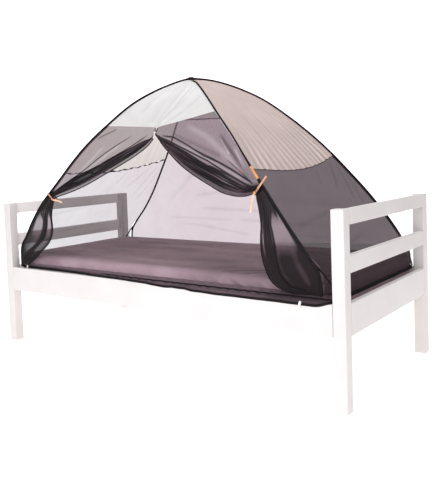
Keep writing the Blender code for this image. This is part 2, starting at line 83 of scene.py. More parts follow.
# ---------------------------------------------------------------- doors
# Free edge of each door half from the top of the slit, round the tie, to the
# zip pull at the bottom.
RIGHT_EDGE = (
    # along, height
    (0.006, 1.180), (0.005, 1.150), (0.030, 1.128), (0.082, 1.085),
    (0.141, 1.040), (0.217, 0.988), (0.306, 0.940), (0.400, 0.897),
    (0.471, 0.867), (0.543, 0.852), (0.598, 0.852), (0.634, 0.862),
    (0.651, 0.868),
    (0.657, 0.842), (0.672, 0.800), (0.684, 0.735), (0.680, 0.670),
    (0.680, 0.620), (0.690, 0.565), (0.713, 0.512), (0.748, 0.478),
    (0.800, 0.460), (0.862, 0.4545),
)
LEFT_EDGE = (
    # along, height
    (-0.010, 1.180), (-0.003, 1.150), (-0.006, 1.118), (-0.038, 1.083),
    (-0.108, 1.040), (-0.200, 0.996), (-0.302, 0.951), (-0.392, 0.912),
    (-0.480, 0.880), (-0.560, 0.858), (-0.606, 0.847), (-0.630, 0.840),
    (-0.645, 0.832),
    (-0.647, 0.805), (-0.653, 0.770), (-0.656, 0.730), (-0.650, 0.680),
    (-0.662, 0.630), (-0.694, 0.585), (-0.760, 0.535), (-0.820, 0.492),
    (-0.860, 0.466), (-0.892, 0.4545),
)
NECK_ROW = 12
NECK_DEPTH = 0.012
NECK_RISE = 0.030
RIBBON_WIDTH = 0.009
RIBBON_THICK = 0.0012

# ---------------------------------------------------------------- camera
CAMERA_PLACE = (2.0852, -2.7514, 1.0110)
CAMERA_YAW = -0.6626
CAMERA_PITCH = -0.0610
CAMERA_ROLL = -0.0378
CAMERA_LENS = 46.355
CAMERA_SHIFT = (0.0556, -0.0960)


# ================================================================ small tools
def blend(value):
    value = min(1.0, max(0.0, value))
    return value * value * (3.0 - 2.0 * value)


def mix(first, second, share):
    return first + (second - first) * share


def along_table(rows, place):
    """Smooth curve through rows of numbers; place runs 0 to 1."""
    scaled = min(max(place, 0.0), 1.0) * (len(rows) - 1)
    index = min(int(scaled), len(rows) - 2)
    part = scaled - index
    before = rows[max(index - 1, 0)]
    start, end = rows[index], rows[index + 1]
    after = rows[min(index + 2, len(rows) - 1)]
    curve = []
    for p, q, r, s in zip(before, start, end, after):
        curve.append(0.5 * (2 * q + (r - p) * part
                            + (2 * p - 5 * q + 4 * r - s) * part ** 2
                            + (3 * q - p - 3 * r + s) * part ** 3))
    return curve


def steps_through(pairs, value):
    """Straight steps through (place, value) pairs."""
    for (low, start), (high, end) in zip(pairs, pairs[1:]):
        if value <= high:
            return mix(start, end, (value - low) / (high - low))
    return pairs[-1][1]


def even(count):
    return [step / count for step in range(count + 1)]


def uneven(x, y=0.0, z=0.0):
    """Smooth repeatable unevenness, about -1 to 1."""
    return noise.noise(Vector((x, y, z)))


# ================================================================ shape of the tent
def traced_leg(corner, place):
    """Middle of one leg's sleeve, worked out from the rows of LEG."""
    sign_x, sign_y, lift, column = CORNERS[corner]
    row = along_table(LEG, place)
    height, along, across, push = row[0], row[1], row[2], row[column]
    near_top = blend((place - 0.86) / 0.14)
    return Vector((sign_x * along + push * LEAN_DIRECTION[0],
                   sign_y * across + push * LEAN_DIRECTION[1],
                   height + lift * near_top))


TRACE_STEPS = 900
TRACED = {corner: [traced_leg(corner, step / TRACE_STEPS) for step in range(TRACE_STEPS + 1)]
          for corner in CORNERS}
TRACED_HEIGHTS = [along_table(LEG, step / TRACE_STEPS)[0] for step in range(TRACE_STEPS + 1)]


def leg_point(corner, place):
    """Middle of one leg's sleeve; place 0 is the foot and 1 the apex."""
    scaled = min(max(place, 0.0), 1.0) * TRACE_STEPS
    index = min(int(scaled), TRACE_STEPS - 1)
    line = TRACED[corner]
    return line[index].lerp(line[index + 1], scaled - index)


def place_at(height):
    """How far up a leg a height is reached."""
    index = min(max(bisect.bisect_left(TRACED_HEIGHTS, height), 1), TRACE_STEPS)
    low, high = TRACED_HEIGHTS[index - 1], TRACED_HEIGHTS[index]
    part = min(1.0, max(0.0, (height - low) / (high - low)))
    return (index - 1 + part) / TRACE_STEPS


def face_point(face, across, place, ease=0.0):
    """Point of the cloth stretched between two legs, clear of the sleeves."""
    first, second = (leg_point(corner, place) for corner in face)
    row = second - first
    width = row.length
    insets = []
    for corner in face:
        tangent = leg_point(corner, place + 0.01) - leg_point(corner, place - 0.01)
        cosine = abs(tangent.normalized().dot(row.normalized()))
        sine = math.sqrt(max(1.0 - cosine * cosine, 0.09))
        room = BEND_ROOM * blend((0.32 - place) / 0.12)
        room += 0.4 * BEND_ROOM * blend((place - 0.90) / 0.05)
        insets.append((SLEEVE_RADIUS + PANEL_GAP + ease + room) / sine)
    reach = insets[0] + across * (width - insets[0] - insets[1])
    return first.lerp(second, reach / width)


def front_point(x, height):
    """Point of the front face at a place along the bed and a height."""
    place = place_at(height)
    first, second = leg_point("fl", place), leg_point("fr", place)
    share = (x - first.x) / (second.x - first.x)
    spot = first.lerp(second, share)
    return Vector((x, spot.y, height))


def front_hem(across):
    """Lower edge of the front panel, drawn down in a point at the slit."""
    slack = 0.042 * (1.0 - abs(2 * across - 1)) ** 1.1
    return place_at(1.214 + 0.026 * across - slack)


def back_hem(across):
    return place_at(1.262 - 0.010 * math.sin(math.pi * across))


def foot_hem(across):
    return place_at(0.968 + 0.044 * across - 0.036 * math.sin(math.pi * across))


def head_hem(across):
    return place_at(0.968 + 0.058 * across - 0.028 * math.sin(math.pi * across))


# ================================================================ meshes
def finish_mesh(name, mesh, material, smooth=True):
    mesh.materials.append(material)
    for polygon in mesh.polygons:
        polygon.use_smooth = smooth
    made = bpy.data.objects.new(name, mesh)
    bpy.context.scene.collection.objects.link(made)
    return made


def write_attributes(mesh, places, creases):
    """Cloth coordinates in metres as a UV map, and each point's crease mark: painted shade above zero and
    painted highlight below it, which on nets also closes the mesh.
    """
    layer = mesh.uv_layers.new(name="cloth")
    for loop in mesh.loops:
        layer.data[loop.index].uv = places[loop.vertex_index]
    mark = mesh.attributes.new("crease_shade", "FLOAT", "POINT")
    mark.data.foreach_set("value", creases)


def cloth(name, grid, material, creases=None):
    """Open sheet through a grid of points, rows from the bottom up."""
    rows, cols = len(grid), len(grid[0])
    points = [point for line in grid for point in line]
    faces = []
    for r in range(rows - 1):
        for c in range(cols - 1):
            a = r * cols + c
            faces.append((a, a + 1, a + cols + 1, a + cols))
    mesh = bpy.data.meshes.new(name)
    mesh.from_pydata([tuple(p) for p in points], [], faces)
    middle = rows // 2
    run, rise = [0.0], [0.0]
    for c in range(1, cols):
        run.append(run[-1] + (grid[middle][c] - grid[middle][c - 1]).length)
    for r in range(1, rows):
        rise.append(rise[-1] + (grid[r][cols // 2] - grid[r - 1][cols // 2]).length)
    places = [(run[c], rise[r]) for r in range(rows) for c in range(cols)]
    flat = [value for line in creases for value in line] if creases else [0.0] * len(points)
    write_attributes(mesh, places, flat)
    return finish_mesh(name, mesh, material)


def tube(name, spine, radius_at, material, sides=12, side_hint=None, flatten=None):
    """Closed round tube along points, its UV running (metres along, turn)."""
    points, places, faces = [], [], []
    run = 0.0
    last = len(spine) - 1
    for index, middle in enumerate(spine):
        tangent = (spine[min(index + 1, last)] - spine[max(index - 1, 0)]).normalized()
        if index:
            run += (middle - spine[index - 1]).length
        hint = side_hint or Vector((0.0, 0.0, 1.0))
        across = hint - tangent * hint.dot(tangent)
        if across.length < 1e-4:
            across = Vector((1.0, 0.0, 0.0)) - tangent * tangent.x
        across.normalize()
        up = across.cross(tangent)
        for step in range(sides):
            angle = 2 * math.pi * step / sides
            radius = radius_at(index / last, angle)
            wide = 1.0 if flatten is None else flatten
            points.append(middle + across * (radius * math.cos(angle))
                          + up * (radius * wide * math.sin(angle)))
            places.append((run, step / sides))
    for row in range(last):
        for step in range(sides):
            after = (step + 1) % sides
            faces.append((row * sides + step, row * sides + after,
                          (row + 1) * sides + after, (row + 1) * sides + step))
    faces.append(tuple(reversed(range(sides))))
    faces.append(tuple(range(last * sides, (last + 1) * sides)))
    mesh = bpy.data.meshes.new(name)
    mesh.from_pydata([tuple(p) for p in points], [], faces)
    write_attributes(mesh, places, [0.0] * len(points))
    tidy_normals(mesh)
    return finish_mesh(name, mesh, material)


def tidy_normals(mesh):
    work = bmesh.new()
    work.from_mesh(mesh)
    bmesh.ops.recalc_face_normals(work, faces=work.faces)
    work.to_mesh(mesh)
    work.free()


# Half outline of a flat band's section: share of its width, share of its thickness.
BAND_SECTION = ((-1.0, 0.0), (-0.94, 0.8), (-0.6, 1.0), (0.0, 0.9), (0.6, 1.0), (0.94, 0.8),
                (1.0, 0.0), (0.94, -0.8), (0.6, -1.0), (0.0, -0.9), (-0.6, -1.0), (-0.94, -0.8))


def band(name, path, facings, width, thick, material, closed=False):
    """Woven band along points, each facing the way it looks; UV (metres, share across)."""
    points, places, faces = [], [], []
    count, sides = len(path), len(BAND_SECTION)
    run = 0.0
    for index, middle in enumerate(path):
        if closed:
            ahead = path[(index + 1) % count] - path[index - 1]
        else:
            ahead = path[min(index + 1, count - 1)] - path[max(index - 1, 0)]
        if index:
            run += (middle - path[index - 1]).length
        facing = facings[index].normalized()
        across = ahead.cross(facing).normalized()
        half = (width(index / (count - 1)) if callable(width) else width) / 2
        for wide, deep in BAND_SECTION:
            points.append(middle + across * (half * wide) + facing * (thick / 2 * deep))
            places.append((run, 0.5 + 0.5 * wide))
    last = count if closed else count - 1
    for row in range(last):
        following = (row + 1) % count
        for step in range(sides):
            after = (step + 1) % sides
            faces.append((row * sides + step, row * sides + after,
                          following * sides + after, following * sides + step))
    if not closed:
        faces.append(tuple(range(sides)))
        faces.append(tuple(range((count - 1) * sides, count * sides)))
    mesh = bpy.data.meshes.new(name)
    mesh.from_pydata([tuple(p) for p in points], [], faces)
    write_attributes(mesh, places, [0.0] * len(points))
    tidy_normals(mesh)
    return finish_mesh(name, mesh, material)


def smooth_path(points, count):
    """Evenly stepped smooth curve through points."""
    rows = [tuple(p) for p in points]
    return [Vector(along_table(rows, step / count)) for step in range(count + 1)]


# ================================================================ materials
def add(tree, kind, values=None, links=None, **settings):
    made = tree.nodes.new(kind)
    for key, value in settings.items():
        setattr(made, key, value)
    for key, value in (values or {}).items():
        made.inputs[key].default_value = value
    for key, source in (links or {}).items():
        tree.links.new(source, made.inputs[key])
    return made


def principled(name, roughness, **sockets):
    made = bpy.data.materials.new(name)
    made.use_nodes = True
    tree = made.node_tree
    shader = tree.nodes["Principled BSDF"]
    shader.inputs["Roughness"].default_value = roughness
    for key, value in sockets.items():
        shader.inputs[key.replace("_", " ")].default_value = value
    return made, tree, shader


def place_node(tree, scale=(1.0, 1.0, 1.0), source="Object"):
    if source == "cloth":
        where = add(tree, "ShaderNodeUVMap", uv_map="cloth").outputs["UV"]
    else:
        where = add(tree, "ShaderNodeTexCoord").outputs[source]
    return add(tree, "ShaderNodeMapping", {"Scale": scale}, {"Vector": where}).outputs["Vector"]


def noise_node(tree, place, scale, detail=3.0, rough=0.55):
    return add(tree, "ShaderNodeTexNoise",
               {"Scale": scale, "Detail": detail, "Roughness": rough}, {"Vector": place}).outputs["Fac"]


def range_node(tree, source, low, high, start=0.0, end=1.0):
    """source going from low to high, taken to start to end."""
    made = add(tree, "ShaderNodeMapRange",
               {"From Min": low, "From Max": high, "To Min": start, "To Max": end}, {"Value": source})
    return made.outputs["Result"]


def math_node(tree, operation, first, second):
    made = add(tree, "ShaderNodeMath", operation=operation)
    for slot, value in enumerate((first, second)):
        if isinstance(value, float):
            made.inputs[slot].default_value = value
        else:
            tree.links.new(value, made.inputs[slot])
    return made.outputs["Value"]


def colour_node(tree, factor, first, second):
    made = add(tree, "ShaderNodeMix", data_type="RGBA")
    tree.links.new(factor, made.inputs[0])
    for slot, value in ((6, first), (7, second)):
        if isinstance(value, tuple):
            made.inputs[slot].default_value = (*value, 1.0)
        else:
            tree.links.new(value, made.inputs[slot])
    return made.outputs[2]


def bump_node(tree, shader, height, strength, distance):
    made = add(tree, "ShaderNodeBump", {"Strength": strength, "Distance": distance},
               {"Height": height})
    tree.links.new(made.outputs["Normal"], shader.inputs["Normal"])
    return made


def wave_node(tree, place, period, direction, profile="SIN"):
    """Bands across a direction, one each period in metres."""
    return add(tree, "ShaderNodeTexWave", {"Scale": math.pi / 10 / period, "Distortion": 0.0},
               {"Vector": place}, wave_type="BANDS", bands_direction=direction,
               wave_profile=profile).outputs["Fac"]


def weave_node(tree, place, period):
    """Plain weave: warp and weft threads, the higher of the two on top."""
    warp = wave_node(tree, place, period, "X")
    weft = wave_node(tree, place, period, "Y")
    return math_node(tree, "MAXIMUM", warp, weft)


def painted_wood(name, grain, glow=0.0):
    """Satin white paint over wood, the grain running along one axis; glow is a pale pink emission, painted
    light that lets the boards shine of themselves.
    """
    made, tree, shader = principled(name, 0.42, Coat_Weight=0.12, Coat_Roughness=0.35,
                                    Emission_Color=(1.0, 0.93, 0.93, 1.0), Emission_Strength=glow)
    stretch = tuple(3.0 if axis == grain else 42.0 for axis in "xyz")
    fibre = noise_node(tree, place_node(tree, stretch), 1.6, 5.0, 0.6)
    cloud = noise_node(tree, place_node(tree), 5.0, 2.0, 0.5)
    tone = range_node(tree, cloud, 0.3, 0.7)
    tree.links.new(colour_node(tree, tone, PAINT[0], PAINT[1]), shader.inputs["Base Color"])
    tree.links.new(range_node(tree, fibre, 0.3, 0.7, 0.36, 0.50), shader.inputs["Roughness"])
    bump_node(tree, shader, fibre, 0.25, 0.0004)
    return made


def pine(name):
    made, tree, shader = principled(name, 0.62)
    place = place_node(tree, (38.0, 3.0, 38.0))
    rings = noise_node(tree, place, 1.0, 4.0, 0.6)
    tree.links.new(colour_node(tree, range_node(tree, rings, 0.35, 0.65), PINE[0], PINE[1]),
                   shader.inputs["Base Color"])
    bump_node(tree, shader, rings, 0.3, 0.0005)
    return made


def ticking(name):
    """Quilted knitted cover of the mattress."""
    made, tree, shader = principled(name, 0.85, Sheen_Weight=0.25, Sheen_Roughness=0.5)
    place = place_node(tree)
    quilt = add(tree, "ShaderNodeTexVoronoi", {"Scale": 14.0}, {"Vector": place},
                feature="SMOOTH_F1").outputs["Distance"]
    knit = noise_node(tree, place, 420.0, 2.0)
    tree.links.new(colour_node(tree, knit, TICKING[0], TICKING[1]), shader.inputs["Base Color"])
    both = math_node(tree, "ADD", math_node(tree, "MULTIPLY", quilt, -1.0),
                     math_node(tree, "MULTIPLY", knit, 0.12))
    bump_node(tree, shader, both, 0.7, 0.004)
    return made


def satin(name, colours, roughness, sheen, period=0.0011, see_through=0.0, gloss=0.4):
    """Closely woven nylon: a soft shine, with painted shade in its valleys and a painted highlight on its
    ridges.
    """
    made, tree, shader = principled(name, roughness, Sheen_Weight=sheen, Sheen_Roughness=0.45,
                                    Sheen_Tint=(*colours[1], 1.0))
    shader.inputs["Specular IOR Level"].default_value = gloss
    place = place_node(tree)
    cloud = noise_node(tree, place, 7.0, 3.0, 0.6)
    crumple = noise_node(tree, place, 26.0, 4.0, 0.6)
    crease_shade = add(tree, "ShaderNodeAttribute", attribute_name="crease_shade").outputs["Fac"]
    plain = colour_node(tree, range_node(tree, cloud, 0.3, 0.7), colours[0], colours[1])
    # deep and lit are painted shade and painted highlight: the crease mark above zero darkens the colour
    # toward deep, below zero lightens it toward lit.
    deep = tuple(0.55 * value for value in colours[0])
    lit = tuple(min(0.92, 1.35 * value) for value in colours[1])
    shaded = colour_node(tree, range_node(tree, crease_shade, 0.0, 1.0), plain, deep)
    tree.links.new(colour_node(tree, range_node(tree, crease_shade, 0.0, -1.0), shaded, lit),
                   shader.inputs["Base Color"])
    tree.links.new(range_node(tree, crumple, 0.3, 0.7, roughness - 0.06, roughness + 0.08),
                   shader.inputs["Roughness"])
    weave = weave_node(tree, place_node(tree, source="cloth"), period)
    height = math_node(tree, "ADD", math_node(tree, "MULTIPLY", weave, 0.10), crumple)
    bump_node(tree, shader, height, 0.35, 0.0020)
    if see_through:
        soft = add(tree, "ShaderNodeBsdfTranslucent", {"Color": (*colours[1], 1.0)})
        both = add(tree, "ShaderNodeMixShader", {"Fac": see_through})
        tree.links.new(shader.outputs["BSDF"], both.inputs[1])
        tree.links.new(soft.outputs["BSDF"], both.inputs[2])
        tree.links.new(both.outputs["Shader"], tree.nodes["Material Output"].inputs["Surface"])
    return made


def netting(name, cover, colours, period=0.0012, sheen=0.04):
    """Fine knitted net: threads over open holes, closer in its creases, with painted shade there and a
    painted highlight where the crease mark is below zero.
    """
    made, tree, shader = principled(name, 0.62, Sheen_Weight=sheen, Sheen_Roughness=0.4)
    shader.inputs["Specular IOR Level"].default_value = 0.05
    place = place_node(tree, source="cloth")
    thread = weave_node(tree, place, period)
    cloud = noise_node(tree, place_node(tree), 9.0, 3.0, 0.6)
    crease_shade = add(tree, "ShaderNodeAttribute", attribute_name="crease_shade").outputs["Fac"]
    plain = colour_node(tree, range_node(tree, cloud, 0.3, 0.7), colours[0], colours[1])
    # Painted shade toward NET_SHADE where the crease mark is above zero, painted highlight toward NET_SHINE
    # below zero; the mark also closes the net below.
    shaded = colour_node(tree, range_node(tree, crease_shade, 0.0, 0.6), plain, NET_SHADE)
    shining = colour_node(tree, range_node(tree, crease_shade, 0.0, -0.6), shaded, NET_SHINE)
    tree.links.new(shining, shader.inputs["Base Color"])
    holes = range_node(tree, thread, 0.3, 1.0, cover - 0.018, cover + 0.014)
    cloudy = math_node(tree, "ADD", holes, range_node(tree, cloud, 0.3, 0.7, -0.015, 0.015))
    dense = math_node(tree, "MAXIMUM", math_node(tree, "MULTIPLY", crease_shade, 0.42), 0.0)
    creased = math_node(tree, "ADD", cloudy, dense)
    tree.links.new(math_node(tree, "MINIMUM", creased, 0.97), shader.inputs["Alpha"])
    bump_node(tree, shader, thread, 0.12, 0.0002)
    return made


def dashes_node(tree, place, period, share, sides):
    """Rows of stitches: dashes along a band at shares of its width."""
    along = wave_node(tree, place, period, "X")
    dash = math_node(tree, "GREATER_THAN", along, 1.0 - share)
    across = add(tree, "ShaderNodeSeparateXYZ", links={"Vector": place}).outputs["Y"]
    rows = None
    for side in sides:
        near = math_node(tree, "LESS_THAN",
                         math_node(tree, "ABSOLUTE", math_node(tree, "SUBTRACT", across, side), 0.0),
                         0.035)
        rows = near if rows is None else math_node(tree, "MAXIMUM", rows, near)
    return math_node(tree, "MULTIPLY", dash, rows)


def woven_band(name, colours, thread, roughness=0.6, period=0.0045, rows=(0.16, 0.84), sheen=0.2,
               gloss=0.3):
    """Tape with rows of stitches near its edges."""
    made, tree, shader = principled(name, roughness, Sheen_Weight=sheen, Sheen_Roughness=0.5)
    shader.inputs["Specular IOR Level"].default_value = gloss
    place = place_node(tree, source="cloth")
    stitch = dashes_node(tree, place, period, 0.62, rows)
    cloud = noise_node(tree, place_node(tree), 60.0, 3.0, 0.6)
    plain = colour_node(tree, range_node(tree, cloud, 0.3, 0.7), colours[0], colours[1])
    tree.links.new(colour_node(tree, stitch, plain, thread), shader.inputs["Base Color"])
    rib = wave_node(tree, place, 0.0011, "X")
    height = math_node(tree, "ADD", math_node(tree, "MULTIPLY", rib, 0.3), stitch)
    bump_node(tree, shader, height, 0.4, 0.0005)
    return made


def plastic(name, colour):
    made, tree, shader = principled(name, 0.34, Coat_Weight=0.2)
    cloud = noise_node(tree, place_node(tree), 160.0, 2.0)
    darker = tuple(0.9 * value for value in colour)
    tree.links.new(colour_node(tree, cloud, darker, colour), shader.inputs["Base Color"])
    tree.links.new(range_node(tree, cloud, 0.3, 0.7, 0.28, 0.40), shader.inputs["Roughness"])
    bump_node(tree, shader, cloud, 0.1, 0.0002)
    return made


PAINT = ((0.70, 0.662, 0.667), (0.745, 0.716, 0.72))
PINE = ((0.62, 0.45, 0.27), (0.78, 0.63, 0.43))
TICKING = ((0.70, 0.69, 0.66), (0.82, 0.81, 0.78))
FLOOR_CLOTH = ((0.278, 0.193, 0.227), (0.372, 0.266, 0.306))
WHITE_CLOTH = ((0.76, 0.76, 0.76), (0.84, 0.84, 0.84))
BEIGE_CLOTH = ((0.58, 0.475, 0.445), (0.67, 0.56, 0.53))
# The head panel is the beige end cloth seen from inside; its much paler colour is painted light shining
# through it.
BEIGE_CLOTH_BACKLIT = ((0.85, 0.785, 0.765), (0.89, 0.84, 0.82))
NET_COLOURS = ((0.120, 0.078, 0.098), (0.165, 0.108, 0.136))
FLAP = ((0.085, 0.058, 0.070), (0.120, 0.085, 0.100))
# The foot net is the same black net as the others; its darker colour is painted shade.
FOOT_NET_SHADED = ((0.030, 0.018, 0.023), (0.046, 0.028, 0.036))
# NET_SHADE is painted shade for the nets' creases and gathers, NET_SHINE a painted highlight on their ridges.
NET_SHADE = (0.016, 0.012, 0.014)
NET_SHINE = (0.62, 0.55, 0.60)
BLACK = ((0.008, 0.007, 0.008), (0.016, 0.013, 0.015))
# One ribbon in three tones: orange in the knot and the sewn strap, paler in the loop round the door, palest
# in the free end.
ORANGE = ((0.62, 0.25, 0.08), (0.80, 0.38, 0.15))
MID_ORANGE = ((0.62, 0.30, 0.16), (0.74, 0.40, 0.24))
PALE_ORANGE = ((0.84, 0.54, 0.34), (0.90, 0.66, 0.48))

MATERIALS = {
    "paint_x": painted_wood("paint_along", "x"),
    "paint_y": painted_wood("paint_across", "y"),
    "paint_z": painted_wood("paint_upright", "z"),
    # The head rails glow: painted light in place of the light the tent keeps off them.
    "paint_head_painted_light": painted_wood("paint_head_painted_light", "y", 0.27),
    "pine": pine("pine"),
    "ticking": ticking("ticking"),
    "floor": satin("floor_cloth_weave", FLOOR_CLOTH, 0.42, 0.15, gloss=0.25),
    "flap": satin("hem_flap_weave", FLAP, 0.50, 0.10, gloss=0.15),
    "white": satin("white_roof_weave", WHITE_CLOTH, 0.55, 0.2, see_through=0.30),
    "beige": satin("beige_roof_weave", BEIGE_CLOTH, 0.52, 0.2, see_through=0.30),
    "head_cloth_backlit": satin("head_roof_weave_backlit", BEIGE_CLOTH_BACKLIT, 0.52, 0.1, see_through=0.78),
    "net_back": netting("net_weave_back", 0.62, NET_COLOURS),
    "net_head": netting("net_weave_head", 0.62, NET_COLOURS),
    "net_foot": netting("net_weave_foot_shaded", 0.815, FOOT_NET_SHADED),
    "net_door": netting("net_weave_door", 0.575, NET_COLOURS),
    "net_doubled": netting("net_weave_doubled", 0.71, NET_COLOURS),
    "sleeve": woven_band("black_sleeve", BLACK, (0.03, 0.026, 0.03), 0.75, rows=(0.22, 0.30), sheen=0.0,
                         gloss=0.06),
    "trim": woven_band("black_tape", BLACK, (0.035, 0.03, 0.033), 0.75, sheen=0.0, gloss=0.06),
    "orange": woven_band("orange_ribbon", ORANGE, (0.16, 0.06, 0.03), 0.55),
    "mid_orange": woven_band("mid_orange_ribbon", MID_ORANGE, (0.30, 0.10, 0.05), 0.55),
    "pale_orange": woven_band("pale_orange_ribbon", PALE_ORANGE, (0.55, 0.25, 0.12), 0.55),
    "zip": plastic("zip_white", (0.86, 0.85, 0.85)),
}


# ================================================================ bed
def timber(node, material, rounding):
    """A board of the bed with softly rounded edges, at its packed size."""
    low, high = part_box(node)
    mesh = bpy.data.meshes.new(node + "_painted")
    work = bmesh.new()
    bmesh.ops.create_cube(work, size=1.0)
    size = high - low
    bmesh.ops.scale(work, vec=size, verts=work.verts)
    bmesh.ops.translate(work, vec=(low + high) / 2, verts=work.verts)
    work.to_mesh(mesh)
    work.free()
    made = finish_mesh(node + "_painted", mesh, material)
    ease = made.modifiers.new("rounded", "BEVEL")
    ease.width = rounding
    ease.segments = 4
    ease.harden_normals = True
    ease.limit_method = "NONE"
    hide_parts(node)
    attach(made, "root")
    return made


def repaint(node, key):
    node.data.materials.clear()
    node.data.materials.append(MATERIALS[key])


def build_bed():
    for end in ("head", "foot"):
        for side in ("front", "back"):
            timber(f"post_{end}_{side}", MATERIALS["paint_z"], 0.0055)
        for part in ("top", "mid", "end"):
            paint = "paint_head_painted_light" if end == "head" else "paint_y"
            timber(f"{end}_{part}_rail", MATERIALS[paint], 0.0032)
    for side in ("front", "back"):
        timber(f"side_rail_{side}", MATERIALS["paint_x"], 0.0028)
    for name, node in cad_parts.items():
        if name.startswith(("slat_", "ledger_")):
            repaint(node, "pine")


# ---------------------------------------------------------------- mattress and floor cloth
MATTRESS_CORNER = 0.067
MATTRESS_ROUND = 0.026


def outline_point(half, corner, share):
    """Point of a rounded rectangle, share 0 to 1 round it from the middle of the foot end."""
    straight_x, straight_y = half[0] - corner, half[1] - corner
    arc = math.pi / 2 * corner
    total = 4 * (straight_x + straight_y + arc)
    run = share * total
    parts = ((straight_y, "line"), (arc, "turn"), (2 * straight_x, "line"), (arc, "turn"),
             (2 * straight_y, "line"), (arc, "turn"), (2 * straight_x, "line"), (arc, "turn"),
             (straight_y, "line"))
    x, y, heading = half[0], 0.0, math.pi / 2
    for length, kind in parts:
        step = min(run, length)
        if kind == "line":
            x += step * math.cos(heading)
            y += step * math.sin(heading)
        else:
            turn = step / corner
            centre_x = x + corner * math.cos(heading + math.pi / 2)
            centre_y = y + corner * math.sin(heading + math.pi / 2)
            heading += turn
            x = centre_x + corner * math.cos(heading - math.pi / 2)
            y = centre_y + corner * math.sin(heading - math.pi / 2)
        run -= step
        if run <= 0:
            break
    return x, y, heading - math.pi / 2


def round_shell(name, rings, around, material, close_bottom):
    """Skin through rings of (inset of the outline, height function), bottom first."""
    points, places, faces, creases = [], [], [], []
    for row, ring in enumerate(rings):
        for step in range(around):
            point, crease_shade = ring(step / around)
            points.append(point)
            creases.append(crease_shade)
            places.append((point[0], point[1] + point[2]))
    for row in range(len(rings) - 1):
        for step in range(around):
            after = (step + 1) % around
            faces.append((row * around + step, row * around + after,
                          (row + 1) * around + after, (row + 1) * around + step))
    last = (len(rings) - 1) * around
    faces.append(tuple(range(last, last + around)))
    if close_bottom:
        faces.append(tuple(reversed(range(around))))
    mesh = bpy.data.meshes.new(name)
    mesh.from_pydata(points, [], faces)
    write_attributes(mesh, places, creases)
    return finish_mesh(name, mesh, material)


def build_mattress():
    """Foam mattress: drawn-in sides between two piped edges, a gently crowned top."""
    low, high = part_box("mattress")
    half = ((high.x - low.x) / 2 - 0.001, (high.y - low.y) / 2 - 0.001)
    top, bottom = high.z - 0.0010, low.z + 0.0002
    rings = []

    def ring(inset, height, crown=0.0):
        def at(share):
            body = (half[0] - inset, half[1] - inset)
            x, y, _ = outline_point(body, max(MATTRESS_CORNER - inset * 0.5, 0.012), share)
            lift = crown * (1 - (x / half[0]) ** 4) * (1 - (y / half[1]) ** 4)
            return (x, y, height + lift), 0.0
        return at

    for step in range(7):
        angle = math.pi / 2 * step / 6
        rings.append(ring(MATTRESS_ROUND * (1 - math.sin(angle)),
                          bottom + MATTRESS_ROUND * (1 - math.cos(angle))))
    for share in even(8)[1:-1]:
        height = mix(bottom + MATTRESS_ROUND, top - MATTRESS_ROUND, share)
        rings.append(ring(0.0035 * math.sin(math.pi * share), height))
    for step in range(7):
        angle = math.pi / 2 * step / 6
        rings.append(ring(MATTRESS_ROUND * (1 - math.cos(angle)),
                          top - 0.004 - MATTRESS_ROUND * (1 - math.sin(angle)), 0.0))
    for share in (0.15, 0.35, 0.6, 0.85):
        inset = mix(MATTRESS_ROUND, half[1] - 0.02, share)
        rings.append(ring(inset, top - 0.004, 0.004))
    made = round_shell("mattress_foam", rings, 144, MATERIALS["ticking"], True)
    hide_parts("mattress")
    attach(made, "root")


# Puckers of the floor cloth: place along the bed and across it of each end,
# half width and height.
PUCKERS = (
    # from along, across, to along, across, half width, height
    (-0.70, -0.30, 0.35, -0.36, 0.045, 0.0035),
    (-0.30, -0.12, 0.62, -0.22, 0.050, 0.0030),
    (-0.85, 0.02, -0.10, 0.10, 0.055, 0.0030),
    (0.10, 0.05, 0.85, -0.02, 0.045, 0.0030),
    (-0.60, 0.26, 0.30, 0.30, 0.040, 0.0025),
    (0.30, 0.22, 0.88, 0.30, 0.035, 0.0025),
    (0.42, -0.42, 0.66, -0.28, 0.014, 0.0030),
    (0.52, -0.42, 0.78, -0.30, 0.012, 0.0035),
    (0.60, -0.43, 0.84, -0.34, 0.011, 0.0030),
    (-0.90, -0.40, -0.70, -0.20, 0.016, 0.0025),
    (-0.86, 0.40, -0.62, 0.24, 0.016, 0.0025),
    (0.88, 0.38, 0.66, 0.20, 0.015, 0.0025),
    (0.90, -0.30, 0.74, -0.10, 0.016, 0.0022),
)


def ridge_height(rows, x, y):
    """Soft ridges laid between two points each; gives height and the crease mark that later paints shade and
    highlight.
    """
    height, crease_shade = 0.0, 0.0
    for x0, y0, x1, y1, width, high in rows:
        run_x, run_y = x1 - x0, y1 - y0
        long = run_x * run_x + run_y * run_y
        share = ((x - x0) * run_x + (y - y0) * run_y) / long
        if not -0.4 < share < 1.4:
            continue
        near = min(1.0, max(0.0, share))
        away = math.hypot(x - x0 - near * run_x, y - y0 - near * run_y)
        if away > 3 * width:
            continue
        fade = blend((share + 0.4) / 0.5) * blend((1.4 - share) / 0.5)
        bell = math.exp(-(away / width) ** 2) * fade
        height += high * bell
        crease_shade += bell * min(1.0, abs(high) / 0.004)
    return height, crease_shade


